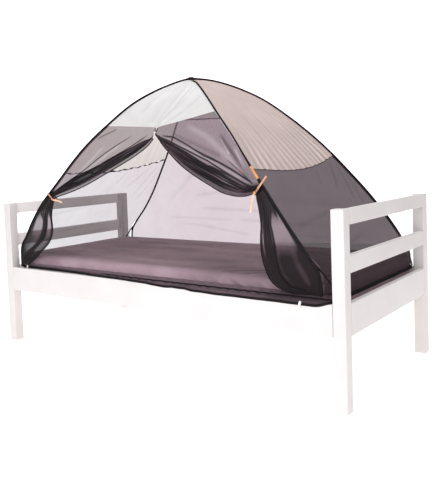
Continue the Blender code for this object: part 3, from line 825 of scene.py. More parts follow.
def build_floor():
    """Floor cloth drawn over the mattress, its puckered side down into the bed."""
    low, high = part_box("floor_cloth")
    half = ((high.x - low.x) / 2, (high.y - low.y) / 2)
    top = high.z
    bend = MATTRESS_ROUND + 0.002
    corner = MATTRESS_CORNER + 0.0045

    def side_pucker(share, height):
        """Small gathers where the tape pulls the side of the cloth in."""
        x, y, _ = outline_point(half, corner, share)
        near_tape = blend((top - 0.010 - height) / 0.035)
        rise = height - 0.45
        gather = 0.5 * math.sin(64.0 * (x + 0.6 * y + 1.2 * rise) + 3.0 * uneven(3 * x, 3 * y))
        gather += 0.5 * math.sin(103.0 * (x - y + 1.6 * rise) + 2.0 * uneven(5 * x, 5 * y, 2.0))
        busy = 0.20 + 0.80 * math.exp(-((x - 0.55) / 0.17) ** 2)
        return 0.0026 * gather * near_tape * busy

    def ring(inset, height, on_top):
        def at(share):
            pull = side_pucker(share, height) if not on_top else 0.0
            # side: painted highlight on the puckers that stand out and painted shade on those drawn in, and
            # painted shade low on the side under the tape.
            side = -170.0 * pull + 0.35 * blend((0.475 - height) / 0.03)
            body = (half[0] - inset + pull, half[1] - inset + pull)
            x, y, _ = outline_point(body, max(corner - inset, 0.010), share)
            lift, crease_shade = ridge_height(PUCKERS, x, y)
            ripple = 0.0010 * uneven(6.0 * x, 14.0 * y) + 0.0006 * uneven(17 * x, 30 * y, 4.0)
            inner = blend((inset - bend * 0.3) / 0.03)
            _, shade = ridge_height(PUCKERS, x, y + 0.020)
            # tone: painted shade on one flank of each pucker and a painted highlight on its ridge, with long
            # streaks of painted shade and highlight for the soft folds.
            tone = 0.9 * shade - 0.75 * crease_shade + 0.75 * uneven(2.2 * x, 11.0 * y, 7.0)
            # edge: a painted highlight along the rounded top edge; the cloth is also made darker over the
            # front right and at the front left end.
            edge = -0.30 * math.exp(-((inset - 0.035) / 0.035) ** 2)
            edge += 0.65 * blend((x - 0.05) / 0.5) * blend((-y - 0.25) / 0.15)
            edge += 0.55 * blend((-x - 0.50) / 0.3) * blend((-y - 0.15) / 0.15)
            return (x, y, height + (1.8 * lift + ripple) * inner), mix(side, 0.8 * tone, inner) + edge
        return at

    rings = []
    for height in (0.400, 0.412, 0.424, 0.434, 0.440, 0.446, 0.452, 0.458, 0.464, 0.470, 0.475):
        rings.append(ring(0.0, height, False))
    for step in range(1, 9):
        angle = math.pi / 2 * step / 8
        rings.append(ring(bend * (1 - math.cos(angle)), top - bend * (1 - math.sin(angle)), step > 4))
    for share in even(46)[1:]:
        rings.append(ring(mix(bend, half[1] - 0.010, share), top, True))
    made = round_shell("floor_cloth_puckered", rings, 560, MATERIALS["floor"], False)
    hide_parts("floor_cloth")
    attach(made, "root")
    return made


# How far the front hem hangs out over the side rail, 0 to 1, along the bed.
HEM_SAG = (
    # along, share of the full sag
    (-0.90, 0.00), (-0.62, 0.06), (-0.42, 0.16), (-0.16, 0.42), (0.15, 0.72),
    (0.40, 0.90), (0.62, 1.00), (0.90, 1.00), (0.94, 0.80), (0.998, 0.45),
)
HEM_IN, HEM_OUT = -0.4671, -0.4974
RAIL_TOP = 0.4345


def hem_line(x):
    """Place across and height of the front hem's middle, and how far it sags."""
    share = steps_through(HEM_SAG, x) if x > HEM_SAG[0][0] else 0.0
    share = min(1.0, share * (1.0 + 0.22 * uneven(6.0 * x, 4.0) + 0.10 * uneven(17.0 * x, 9.0)))
    across = mix(HEM_IN, HEM_OUT, blend(share / 0.35))
    drop = 0.0200 * blend((share - 0.30) / 0.70)
    return across, RAIL_TOP + 0.0075 - drop, share


def build_hem_tape():
    """Hem tape round the floor cloth, a little wavy, with the zip along the doorway."""
    low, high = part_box("floor_hem_tape")
    half = ((high.x - low.x) / 2, (high.y - low.y) / 2)
    middle = (low.z + high.z) / 2
    corner = MATTRESS_CORNER + 0.0183
    count = 760
    path, facings = [], []
    for step in range(count):
        x, y, facing = outline_point((half[0] - 0.0012, half[1] - 0.0012), corner, step / count)
        sway = 0.0016 * uneven(7.0 * x, 9.0 * y) + 0.0010 * uneven(19.0 * x, 21.0 * y, 3.0)
        height = middle
        if y < 0.0 and HEM_SAG[0][0] < x < HEM_SAG[-1][0]:
            y, height, _ = hem_line(x)
        path.append(Vector((x, y, height + 0.6 * sway)))
        facings.append(Vector((math.cos(facing), math.sin(facing), 0.0)))
    tape = band("hem_tape", path, facings, 0.0115, 0.0022, MATERIALS["trim"], closed=True)
    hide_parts("floor_hem_tape")
    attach(tape, "root")
    inner, looks = [], []
    for step in range(count):
        x, y, facing = outline_point((half[0] - 0.0075, half[1] - 0.0075), corner - 0.006, step / count)
        spot, look = Vector((x, y, high.z - 0.0014)), Vector((0.0, 0.0, 1.0))
        if y < 0.0 and HEM_SAG[0][0] < x < HEM_SAG[-1][0]:
            share = blend(hem_line(x)[2] / 0.4)
            look = Vector((0.0, -0.55 * share, 1.0)).normalized()
            spot = spot.lerp(flap_spot(x, 0.48)[0] + look * 0.0012, share)
        inner.append(spot)
        looks.append(look)
    seam = band("hem_seam", inner, looks, 0.0085, 0.0014, MATERIALS["trim"], closed=True)
    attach(seam, "root")

    grid, creases = [], []
    rows, cols = 14, 560
    for r in range(rows + 1):
        spots = [flap_spot(mix(HEM_SAG[0][0], HEM_SAG[-1][0] - 0.001, c / cols), r / rows)
                 for c in range(cols + 1)]
        grid.append([spot for spot, _ in spots])
        creases.append([mark for _, mark in spots])
    flap = cloth("hem_flap", grid, MATERIALS["flap"], creases)
    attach(flap, "root")
    return [tape, seam, flap]


def flap_spot(x, part):
    """Front flap of the floor cloth, 0 at the mattress and 1 at the tape, and its crease mark of painted
    light.
    """
    out, height, share = hem_line(x)
    inner = -0.4540
    if x > 0.928:
        inner = -0.383 - math.sqrt(max(0.0, 0.0710 ** 2 - (x - 0.928) ** 2))
    edge = max(height + 0.004, RAIL_TOP + 0.0042)
    over = blend(share / 0.35)
    section = ((0.0, inner, 0.4620),
               (0.35, mix(-0.4600, -0.4720, over), mix(0.4540, 0.4520, over)),
               (0.70, out + 0.0010, mix(0.4470, edge, over)),
               (1.0, out + 0.0006, height + 0.003))
    y = steps_through([(place, across) for place, across, _ in section], part)
    z = steps_through([(place, rise) for place, _, rise in section], part)
    gather = math.sin(120.0 * x + 4.0 * uneven(9.0 * x, 1.0)) * (0.4 + 0.8 * uneven(7.0 * x, 5.0) ** 2)
    swell = blend(part / 0.2) * blend((0.8 - part) / 0.3) * over
    # A painted highlight where the flap turns over the mattress, painted shade lower down, painted shade and
    # highlight on its gathers, and darker toward the right end.
    tone = mix(-0.9, 0.2, blend((part - 0.36) / 0.14)) - 0.7 * gather * swell
    tone += 1.3 * blend((x - 0.62) / 0.20)
    return Vector((x, y, z + 0.0022 * gather * swell)), tone


def build_front_pulls():
    """Zip pulls hanging over the hem at both ends of the doorway."""
    for name, x in (("left", -0.896), ("right", 0.866)):
        out, height, share = hem_line(x)
        mesh = bpy.data.meshes.new(f"zip_tab_{name}")
        work = bmesh.new()
        bmesh.ops.create_cube(work, size=1.0)
        for vert in work.verts:
            if vert.co.z < 0:
                vert.co.x *= 1.3
        bmesh.ops.scale(work, vec=(0.010, 0.0036, 0.027), verts=work.verts)
        bmesh.ops.bevel(work, geom=work.edges[:], offset=0.0012, segments=3, affect="EDGES")
        lean = Matrix.Rotation(math.radians(14), 3, "Y")
        bmesh.ops.rotate(work, cent=(0, 0, 0), matrix=lean, verts=work.verts)
        bmesh.ops.translate(work, vec=(x, out - 0.0036, height - 0.004 * (1 - share)), verts=work.verts)
        work.to_mesh(mesh)
        work.free()
        tab = finish_mesh(f"zip_tab_{name}", mesh, MATERIALS["zip"])
        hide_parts(f"zip_pull_{name}")
        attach(tab, "root")


# Corner seams of the end nets, running from each leg to the floor cloth's end.
def build_corner_seams():
    made = []
    for corner in CORNERS:
        sign_x, sign_y = CORNERS[corner][:2]
        top = leg_point(corner, place_at(0.600))
        foot = Vector((sign_x * 1.0035, sign_y * 0.425, 0.4475))
        line = []
        for share in even(14):
            spot = top.lerp(foot, share)
            spot.x += sign_x * 0.010 * math.sin(math.pi * share)
            line.append(spot)
        seam = tube(f"corner_seam_{corner}", line, lambda share, angle: 0.0040, MATERIALS["trim"], sides=8)
        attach(seam, "root")
        made.append(seam)
    return made


# ================================================================ hoops
# How much thicker than its hoop each sleeve is: share of its length, metres.
# Where sleeve_b is thinner, the roof panels end up to 2.8 mm short of it.
SLEEVE_A_SLACK = ((0.0, 0.0012), (1.0, 0.0012))
SLEEVE_B_SLACK = (
    (0.0, 0.0008), (0.20, 0.0004), (0.25, -0.0024),
    (0.46, -0.0020), (0.62, -0.0010), (1.0, -0.0008),
)


def build_hoop(name, node, start, end, slack_rows):
    """Sprung hoop in its cloth sleeve, the sleeve's slack and seam showing."""
    steps = 120
    spine = [leg_point(start, step / steps) for step in range(steps + 1)]
    spine += [leg_point(end, 1 - step / steps) for step in range(1, steps + 1)]
    span = spine[-1] - spine[0]
    side = Vector((span.y, -span.x, 0.0)).normalized()

    def radius(share, angle):
        slack = 0.00035 * math.sin(3 * angle + 40 * share) + 0.0004 * uneven(60 * share, angle)
        return SLEEVE_RADIUS + steps_through(slack_rows, share) + slack

    made = tube(name, spine, radius, MATERIALS["sleeve"], sides=18, side_hint=side)
    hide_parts(node)
    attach(made, "root")
    return made


def build_apex_patch():
    """Patch sewn over the crossing of the hoops."""
    top = leg_point("fl", 1.0)
    ahead = (leg_point("br", 0.97) - leg_point("fl", 0.97)).normalized()
    side = Vector((ahead.y, -ahead.x, 0.0)).normalized()
    rings, faces, points, places = 9, [], [], []
    for row in range(rings):
        place = mix(-0.013, 0.013, row / (rings - 1))
        for layer, radius in enumerate((SLEEVE_RADIUS + 0.0007, SLEEVE_RADIUS + 0.0025)):
            steps = range(15) if layer == 0 else range(14, -1, -1)
            for step in steps:
                angle = math.radians(-12 + 204 * step / 14)
                pad = 0.0005 * math.cos(math.pi * place / 0.026) * layer
                at = top + ahead * place + side * ((radius + pad) * math.cos(angle))
                points.append(at + Vector((0, 0, (radius + pad) * math.sin(angle))))
                places.append((place, step / 14))
    count = 30
    for row in range(rings - 1):
        for step in range(count):
            after = (step + 1) % count
            faces.append((row * count + step, row * count + after,
                          (row + 1) * count + after, (row + 1) * count + step))
    faces.append(tuple(range(count)))
    faces.append(tuple(range((rings - 1) * count, rings * count)))
    mesh = bpy.data.meshes.new("apex_cover")
    mesh.from_pydata([tuple(p) for p in points], [], faces)
    write_attributes(mesh, places, [0.0] * len(points))
    tidy_normals(mesh)
    made = finish_mesh("apex_cover", mesh, MATERIALS["trim"])
    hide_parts("apex_patch")
    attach(made, "root")


# ================================================================ roof panels and nets
def face_normal(face, across, place):
    """Outward direction of a face at a point."""
    a = face_point(face, min(across + 0.02, 1.0), place) - face_point(face, max(across - 0.02, 0.0), place)
    b = face_point(face, across, min(place + 0.01, 0.99)) - face_point(face, across, max(place - 0.01, 0.0))
    normal = a.cross(b).normalized()
    middle = Vector((0.0, 0.0, 0.75))
    return normal if normal.dot(face_point(face, across, place) - middle) > 0 else -normal


def panel(name, node, face, hem, material, relief, rows=56, cols=84):
    """Roof panel from its hem to its tip; relief gives fold height and the crease mark of painted shade and
    highlight.
    """
    grid, creases = [], []
    for r in range(rows + 1):
        line, marks = [], []
        for c in range(cols + 1):
            across = c / cols
            part = r / rows
            place = mix(hem(across), PANEL_TIP, part)
            held = blend(across * 14) * blend((1 - across) * 14) * blend((1 - part) * 6)
            lift, crease_shade = relief(across, part)
            spot = face_point(face, across, place)
            line.append(spot + face_normal(face, across, place) * (lift * held))
            marks.append(crease_shade * held)
        grid.append(line)
        creases.append(marks)
    made = cloth(name, grid, material, creases)
    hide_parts(node)
    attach(made, "root")
    return made


# Folds of each roof panel: share across the face and share from hem to tip of
# each end, half width in the same shares, and height in metres.
FRONT_FOLDS = (
    # from across, part, to across, part, half width, height
    (0.52, 0.00, 0.97, 0.46, 0.024, 0.0080),
    (0.54, 0.04, 0.98, 0.62, 0.020, 0.0070),
    (0.56, -0.02, 0.97, 0.24, 0.018, 0.0070),
    (0.50, 0.05, 0.90, 0.78, 0.026, 0.0064),
    (0.46, 0.06, 0.60, 0.86, 0.034, -0.0050),
    (0.44, 0.02, 0.06, 0.16, 0.030, 0.0052),
    (0.42, 0.06, 0.10, 0.42, 0.034, -0.0046),
    (0.30, 0.20, 0.36, 0.80, 0.040, 0.0040),
)
BACK_FOLDS = (
    (0.10, 0.02, 0.60, 0.70, 0.035, 0.0038),
    (0.04, 0.10, 0.40, 0.80, 0.030, -0.0034),
    (0.55, 0.02, 0.92, 0.50, 0.030, 0.0034),
    (0.80, 0.05, 0.60, 0.75, 0.036, -0.0030),
)


def fold_relief(rows):
    def relief(across, part):
        lift, crease_shade = ridge_height(rows, across, part)
        _, shade = ridge_height(rows, across + 0.022, part - 0.012)
        lift += 0.0016 * uneven(5 * across, 4 * part, 1.0)
        # Painted shade on one flank of each fold and a painted highlight on its ridge, through the crease
        # mark.
        return lift, 0.30 * shade - 0.22 * crease_shade
    return relief


def ruched_relief(start, end, count, swing):
    """Gathers that rise from the hem toward the tip over part of the width; their crease mark paints shade in
    the valleys and a highlight on the ridges.
    """
    def relief(across, part):
        window = blend((across - start) / 0.16) * blend((end - across) / 0.05)
        reach = 0.24 + 0.12 * uneven(11 * across, 7.0, swing) + 0.10 * blend((across - 0.5) / 0.3)
        fade = math.exp(-(part / reach) ** 2) * (0.70 + 0.30 * blend(part / 0.05))
        lean = across - 0.05 * part + 0.020 * uneven(7 * across, 3 * part, swing)
        wave = math.sin(2 * math.pi * count * lean)
        depth = 0.0048 * (0.75 + 0.5 * uneven(14 * across, 2.0, swing))
        sag = -0.0060 * math.sin(math.pi * across) * math.sin(math.pi * min(1.0, part * 1.2))
        fine = 0.0010 * uneven(7 * across, 5 * part, swing + 4)
        busy = 0.30 + 0.7 * blend(0.5 + 1.6 * uneven(4.3 * across, 1.4 * part, swing + 2.0))
        busy += 0.55 * uneven(14 * across, 3 * part, swing)
        # tone: painted shade in the valleys of the gathers and a painted highlight on their ridges.
        tone = window * fade * (-0.85 * wave) * busy
        return wave * depth * window * fade + sag + fine, tone
    return relief


def hem_binding(name, face, hem, material, width=0.008, inside=True, ripple=0.0012, puckers=0.0):
    """Narrow binding that follows a panel's lower edge on one side of the cloth."""
    count = 90
    path, facings = [], []
    for step in range(count + 1):
        across = mix(0.004, 0.996, step / count)
        place = hem(across)
        out = face_normal(face, across, place)
        away = -0.0016 if inside else 0.0016
        spot = face_point(face, across, place) + out * away
        spot.z += ripple * math.sin(60 * across + 2 * uneven(8 * across, 1.0))
        path.append(spot)
        facings.append(out)
    wide = lambda share: width * (1.0 - puckers * (0.5 + 0.5 * math.sin(95 * share + 4 * uneven(9 * share))))
    made = band(name, path, facings, wide, 0.0010, material)
    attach(made, "root")
    return made


# Slack lines of the back net: share across and share from the floor to the hem
# of each end, half width, height in metres.
BACK_SLACK = (
    # from across, part, to across, part, half width, height
    (0.30, 0.36, 0.62, 0.34, 0.012, 0.0040),
    (0.16, 0.28, 0.42, 0.27, 0.010, 0.0036),
    (0.24, 0.22, 0.36, 0.20, 0.009, 0.0034),
    (0.34, 0.19, 0.50, 0.13, 0.009, 0.0044),
    (0.48, 0.27, 0.80, 0.24, 0.014, 0.0036),
    (0.26, 0.46, 0.52, 0.50, 0.016, -0.0034),
    (0.20, 0.60, 0.40, 0.68, 0.018, 0.0030),
    (0.55, 0.44, 0.86, 0.40, 0.016, 0.0030),
    (0.60, 0.16, 0.84, 0.12, 0.010, 0.0030),
    (0.12, 0.44, 0.24, 0.70, 0.016, 0.0028),
)
END_SLACK = (
    (0.86, 0.96, 0.70, 0.78, 0.014, 0.0034),
    (0.92, 0.92, 0.80, 0.66, 0.012, 0.0034),
    (0.96, 0.84, 0.86, 0.60, 0.010, 0.0030),
    (0.62, 0.97, 0.56, 0.84, 0.012, 0.0028),
    (0.20, 0.30, 0.60, 0.38, 0.016, 0.0030),
    (0.30, 0.18, 0.74, 0.24, 0.014, 0.0034),
    (0.10, 0.55, 0.40, 0.62, 0.018, 0.0026),
)


def build_back_net():
    rows, cols = 90, 130
    grid, creases = [], []
    tape_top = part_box("floor_hem_tape")[1].z
    for r in range(rows + 1):
        line, marks = [], []
        for c in range(cols + 1):
            across, part = c / cols, r / rows
            place = back_hem(across) * part
            spot = face_point(BACK, across, place, NET_REACH)
            slack = math.sin(math.pi * across) * math.sin(math.pi * part)
            lift, crease_shade = ridge_height(BACK_SLACK, across, part)
            held = blend(across * 12) * blend((1 - across) * 12) * blend(part * 14) * blend((1 - part) * 14)
            fine = 0.0016 * uneven(5 * across, 16 * part) + 0.0008 * uneven(11 * across, 40 * part, 5.0)
            spot.y += 0.008 * slack + (lift + fine) * held
            if r == 0:
                spot.z = tape_top + 0.0004
            line.append(spot)
            # A little painted shade along the slack lines, where the net is also made a little closer.
            marks.append(0.10 * crease_shade * held)
        grid.append(line)
        creases.append(marks)
    made = cloth("back_net", grid, MATERIALS["net_back"], creases)
    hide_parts("net_back")
    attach(made, "root")
    return made


# Of an end net's lower edge: how far inside the hem tape it runs, how far it
# clears the mattress corner, and how far past the leg's foot it starts to turn.
HEM_INSET = 0.0065
CORNER_CLEARANCE = 0.0053
CORNER_START = 0.009


class CornerPath:
    """Line of an end net's lower edge, round both mattress corners."""

    def __init__(self):
        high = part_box("floor_hem_tape")[1]
        self.radius = MATTRESS_CORNER + CORNER_CLEARANCE + HEM_INSET
        self.x = high.x - HEM_INSET - self.radius
        self.y = high.y - HEM_INSET - self.radius
        self.turn = math.acos((LEG[0][1] + CORNER_START - self.x) / self.radius)
        self.bend = self.turn * self.radius
        self.length = 2 * self.bend + 2 * self.y

    def point(self, run):
        if run < self.bend:
            angle = -self.turn + run / self.radius
            centre = -self.y
        elif run > self.length - self.bend:
            angle = self.turn - (self.length - run) / self.radius
            centre = self.y
        else:
            return Vector((self.x + self.radius, run - self.bend - self.y, 0.0))
        return Vector((self.x + self.radius * math.cos(angle),
                       centre + self.radius * math.sin(angle), 0.0))


def build_end_net(name, node, face, hem, swing, material):
    """Net over a bed end; its foot flares out round the mattress corners."""
    sign = CORNERS[face[0]][0]
    path = CornerPath()
    rows, cols = 84, 110
    grid, creases = [], []
    for r in range(rows + 1):
        line, marks = [], []
        for c in range(cols + 1):
            across = c / cols
            part = r / rows
            place = hem(across) * part ** 0.9
            height = along_table(LEG, place)[0]
            taut = face_point(face, across, place, NET_REACH)
            low = path.point(across * path.length)
            low.x *= sign
            flare = 1.0 - blend((height - FLARE[0]) / (FLARE[1] - FLARE[0]))
            low.z = taut.z - 0.006 * flare
            spot = taut.lerp(low, flare)
            lift, crease_shade = ridge_height(END_SLACK, across, part)
            held = blend(across * 14) * blend((1 - across) * 14) * blend(part * 10) * blend((1 - part) * 18)
            fine = 0.0014 * uneven(7 * across, 9 * part, swing)
            spot.x += sign * (lift + fine) * held
            line.append(spot)
            # A little painted shade along the slack lines, where the net is also made a little closer.
            marks.append(0.10 * crease_shade * held)
        grid.append(line)
        creases.append(marks)
    made = cloth(name, grid, material, creases)
    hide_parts(node)
    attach(made, "root")
    return made


# ================================================================ doors
def line_distance(line, x, z):
    """Distance of a place on the front face from a line of (along, height) points."""
    best, share = 9.0, 0.0
    for index, ((x0, z0), (x1, z1)) in enumerate(zip(line, line[1:])):
        run_x, run_z = x1 - x0, z1 - z0
        near = ((x - x0) * run_x + (z - z0) * run_z) / (run_x * run_x + run_z * run_z)
        near = min(1.0, max(0.0, near))
        away = math.hypot(x - x0 - near * run_x, z - z0 - near * run_z)
        if away < best:
            best, share = away, (index + near) / (len(line) - 1)
    return best, share


class Door:
    """One half of the front door, drawn back to its leg and gathered in the tie.

    Above the tie its folds fan out from the slit: the clear part lies between
    the roof hem and the gathered part, which follows the free edge.  Below the
    tie the cloth hangs in strands from the leg, 0, to the free edge, 1.
    """

    def __init__(self, corner, edge, thickness, strands, opening, fray, gather_darkness, creases):
        self.side = CORNERS[corner][0]
        self.edge = edge
        self.thickness = [(value,) for value in thickness]
        self.strands = strands
        self.opening = opening
        self.fray = fray
        self.gather_darkness = gather_darkness
        self.creases = creases
        self.hem_place = front_hem(0.5 + 0.5 * self.side)
        self.neck_place = place_at(edge[NECK_ROW][1] + NECK_RISE)

    def leg_at(self, place):
        spot = face_point(FRONT, 0.5 + 0.5 * self.side, place, NET_REACH)
        return Vector((spot.x, spot.z))

    def free_at(self, run):
        return Vector(along_table(self.edge[:NECK_ROW + 1], run))

    def upper_edge(self, run):
        """The free edge, the way from it into the cloth, and how thick the gather is."""
        free = self.free_at(run)
        way = (self.free_at(run + 0.02) - self.free_at(run - 0.02)).normalized()
        into = Vector((-way.y, way.x)) * self.side
        neck = self.leg_at(self.neck_place) - self.free_at(1.0)
        share = blend((run - 0.80) / 0.20)
        into = into.lerp(neck.normalized(), share).normalized()
        thick = mix(along_table(self.thickness, run)[0], neck.length, blend((run - 0.86) / 0.14))
        return free, into, thick

    def swing(self, part, along):
        """Sideways and outward sway of the gathered folds."""
        turn = 2 * math.pi * (FOLDS * part + 0.30 * uneven(5 * part, 2.2 * along, self.side))
        size = 0.75 + 0.7 * uneven(8 * part, 3.0 * along, 3.0 + self.side)
        return turn, size

    def upper_point(self, across, run):
        """Above the tie: across 0 at the roof hem, 1 at the gather's top, 2 at the free edge."""
        free, into, thick = self.upper_edge(run)
        if across <= 1.0:
            reach = 0.5 + self.side * (0.0075 + 0.4925 * run)
            hem = face_point(FRONT, reach, front_hem(reach))
            hem = Vector((hem.x, hem.z))
            top = free + into * thick
            spot = hem.lerp(top, across)
            end = self.leg_at(mix(self.hem_place, self.neck_place, across))
            straight = self.leg_at(self.hem_place).lerp(self.leg_at(self.neck_place), across)
            spot += (end - straight) * run ** 3
            # Painted shade, with a closer net, just under the gather's top.
            dark = 0.50 * blend((across - 0.93) / 0.07) * blend((run - 0.15) / 0.3)
            soft = 0.0030 * math.sin(9.0 * across + 6.0 * run + 2.0 * uneven(3 * across, 3 * run))
            soft += 0.0018 * uneven(9 * across, 3 * run, 6.0)
            depth = 0.0020 + soft * blend(run / 0.25) * blend((1.0 - run) / 0.15)
            depth *= blend(across / 0.12) * blend(run / 0.15)
            return spot, depth, dark
        part = across - 1.0
        lies = steps_through(((0.0, 0.0), (self.fray + 0.04, self.fray - 0.04), (1.0, 1.0)), part)
        lies = mix(lies, part, blend((run - 0.84) / 0.16))
        turn, size = self.swing(part, run)
        packed = blend((1.0 - part) / 0.10) * blend(part / 0.05) * blend((run - 0.06) / 0.20)
        sway = mix(0.0075, 0.0045, blend((run - 0.8) / 0.2)) * min(1.0, thick / 0.035)
        spot = free + into * (thick * (1.0 - lies) + sway * size * packed * math.sin(turn))
        depth = (0.0060 + 0.0060 * math.cos(turn) * size + 0.012 * (part - 0.3)) * packed
        # The gathered folds are dark in streaks: their many layers close the net, and the same mark paints
        # shade on them, darkest in the tie.
        single = blend((part - self.fray) / 0.07)
        fine = 1.25 * uneven(18 * part, 4.5 * run, 2.0 + self.side)
        streak = 0.55 + 0.35 * math.cos(2 * turn + 1.5) + 0.9 * fine
        streak = mix(streak, self.gather_darkness + 0.9 * fine, blend((run - 0.25) / 0.40))
        dark = mix(max(0.1, streak), 0.30, single) * blend((run - 0.02) / 0.12)
        dark = mix(dark, 1.0, blend((run - 0.90) / 0.10))
        return spot, depth + 0.002 * blend(run / 0.15), dark

    def lower_point(self, part, run):
        """Below the tie: part 0 at the leg, 1 at the free edge; run 0 at the tie, 1 at the floor."""
        leg = self.leg_at(self.neck_place * (1.0 - run))
        free = Vector(along_table(self.edge[NECK_ROW:], run))
        chord = free - leg
        width = chord.length
        start, full, shut, end = self.opening
        loose = blend((run - start) / (full - start)) * blend((end - run) / (end - shut))
        lies, thin = part, 0.0
        low = blend((run - 0.35) / 0.40)
        strands = [(a, mix(lies_a, lies_b, low)) for (a, lies_a, lies_b) in self.strands]
        for (a, lies_a), (b, lies_b) in zip(strands, strands[1:]):
            if a <= part <= b:
                inside = (part - a) / (b - a)
                lies = mix(part, mix(lies_a, lies_b, inside), loose)
                if lies_b - lies_a > 0.9 * (b - a):
                    thin = blend(inside / 0.12) * blend((1.0 - inside) / 0.12) * loose
        turn, size = self.swing(part, 1.0 + run)
        packed = (1.0 - thin) * blend(part / 0.05) * blend((1.0 - part) / 0.06)
        packed *= blend((1.0 - run) / 0.08)
        sway = mix(0.0045, 0.0070, blend(run / 0.3)) * min(1.0, width / 0.06)
        spot = leg + chord * lies + chord.normalized() * (sway * size * packed * math.sin(turn))
        depth = 0.0045 + 0.0050 * math.cos(turn) * size * packed
        depth += 0.0030 * thin * math.sin(7.0 * part + 5.0 * run)
        depth *= blend((1.0 - run) / 0.10)
        fine = uneven(15 * part, 2.5 * run, 8.0 + self.side)
        # Strands get painted shade with a closer net; the thin parts between them get less, rising toward the
        # floor.
        veil = 0.62 * blend((run - 0.36) / 0.26) * (1.0 + 0.6 * uneven(16 * part, 1.2 * run, 4.0))
        dark = mix(0.95 + 0.6 * fine, veil, thin)
        return spot, depth, dark

    def place(self, spot, depth, dark, fine=True):
        face = front_point(spot.x, max(spot.y, LEG[0][0]))
        higher = front_point(spot.x, face.z + 0.02)
        out = Vector((0.0, -1.0, (higher.y - face.y) / 0.02)).normalized()
        low = blend((0.56 - spot.y) / 0.08)
        lift = 0.0
        if fine:
            # Crease lines above zero add painted shade and close the net; those below zero add a painted
            # highlight where a ridge catches the light.
            for line, width, strength in self.creases:
                away, share = line_distance(line, spot.x, spot.y)
                if away < 3 * width:
                    bell = math.exp(-(away / width) ** 2) * blend(share / 0.15) ** 0.5
                    dark += strength * bell
                    lift += 0.0028 * bell * (1.0 if strength > 0 else 1.5)
        made = Vector((spot.x, face.y, spot.y)) + out * (depth + lift + 0.0035 * low)
        return made, min(1.0, dark)

    def mesh(self, name, material):
        """Both parts as one sheet, joined along the tie."""
        clear, folds, up, down = 120, 110, 120, 100
        points, marks, places, faces = [], [], [], []

        def keep(spot, mark, place):
            points.append(spot)
            marks.append(mark)
            places.append(place)
            return len(points) - 1

        rows = []
        for r in range(up + 1):
            run = r / up
            line = []
            for c in range(clear + folds + 1):
                across = c / clear if c <= clear else 1.0 + (c - clear) / folds
                spot, dark = self.place(*self.upper_point(across, run))
                line.append(keep(spot, dark, (0.55 * run, 0.30 * across)))
            rows.append(line)
        for r in range(up):
            for c in range(clear + folds):
                faces.append((rows[r][c], rows[r][c + 1], rows[r + 1][c + 1], rows[r + 1][c]))
        before = rows[-1][clear:]
        seam = [points[index].copy() for index in before]
        free = [points[line[-1]] for line in rows]
        for r in range(1, down + 1):
            run = r / down
            line = []
            for c in range(folds + 1):
                spot, dark = self.place(*self.lower_point(c / folds, run))
                if r < 9:
                    start, _ = self.place(*self.lower_point(c / folds, 0.0))
                    spot += (seam[c] - start) * (1.0 - blend(r / 9))
                line.append(keep(spot, dark, (0.55 + 0.45 * run, 0.30 * (1.0 + c / folds))))
            for c in range(folds):
                faces.append((before[c], before[c + 1], line[c + 1], line[c]))
            before = line
            free.append(points[line[-1]])
        mesh = bpy.data.meshes.new(name)
        mesh.from_pydata([tuple(p) for p in points], [], faces)
        write_attributes(mesh, places, marks)
        return finish_mesh(name, mesh, material), free


FOLDS = 6.5
RIGHT_DOOR = Door(
    "fr", RIGHT_EDGE,
    (0.0, 0.004, 0.012, 0.026, 0.044, 0.060, 0.066, 0.070, 0.068, 0.054, 0.036, 0.030, 0.030),
    # share of the cloth, share of the width it reaches near the tie and near the floor
    ((0.0, 0.0, 0.0), (0.24, 0.60, 0.76), (0.78, 0.87, 0.86), (0.86, 0.95, 0.93), (1.0, 1.0, 1.0)),
    # opening of the strands, share where the gather turns single, and how dark the gathered folds turn:
    # painted shade with a closer net
    (0.16, 0.32, 0.84, 1.00), 0.80, 0.66,
    # crease lines: points, half width and strength; above zero painted shade with a closer net, below zero a
    # painted highlight
    (
        (((0.045, 1.140), (0.131, 1.126), (0.225, 1.087), (0.333, 1.033), (0.431, 0.998),
          (0.521, 0.957), (0.608, 0.913)), 0.0029, 1.00),
        (((0.043, 1.135), (0.159, 1.090), (0.250, 1.053), (0.364, 1.008), (0.474, 0.954),
          (0.552, 0.918), (0.626, 0.887)), 0.0028, 1.10),
        (((0.120, 1.108), (0.240, 1.068), (0.350, 1.020), (0.460, 0.972), (0.560, 0.927)), 0.0040, -0.16),
        (((0.060, 1.120), (0.132, 1.087), (0.225, 1.045), (0.343, 0.988), (0.441, 0.950)), 0.0028, 0.85),
        (((0.368, 0.990), (0.503, 0.938), (0.604, 0.893)), 0.0030, 0.85),
        (((0.400, 1.130), (0.470, 1.060), (0.540, 0.990), (0.621, 0.917)), 0.0100, 0.40),
        (((0.408, 1.115), (0.476, 1.036)), 0.0034, -0.38),
        (((0.493, 1.067), (0.582, 0.955), (0.626, 0.913)), 0.0060, -0.26),
        (((0.250, 1.072), (0.380, 1.022), (0.500, 0.970), (0.600, 0.918)), 0.0024, 0.60),
        (((0.470, 1.010), (0.560, 0.950), (0.622, 0.905)), 0.0026, 0.55),
        (((0.180, 1.185), (0.330, 1.120), (0.450, 1.040), (0.560, 0.960)), 0.0140, -0.15),
        (((0.100, 1.150), (0.280, 1.085), (0.420, 1.030)), 0.0100, 0.20),
    ))
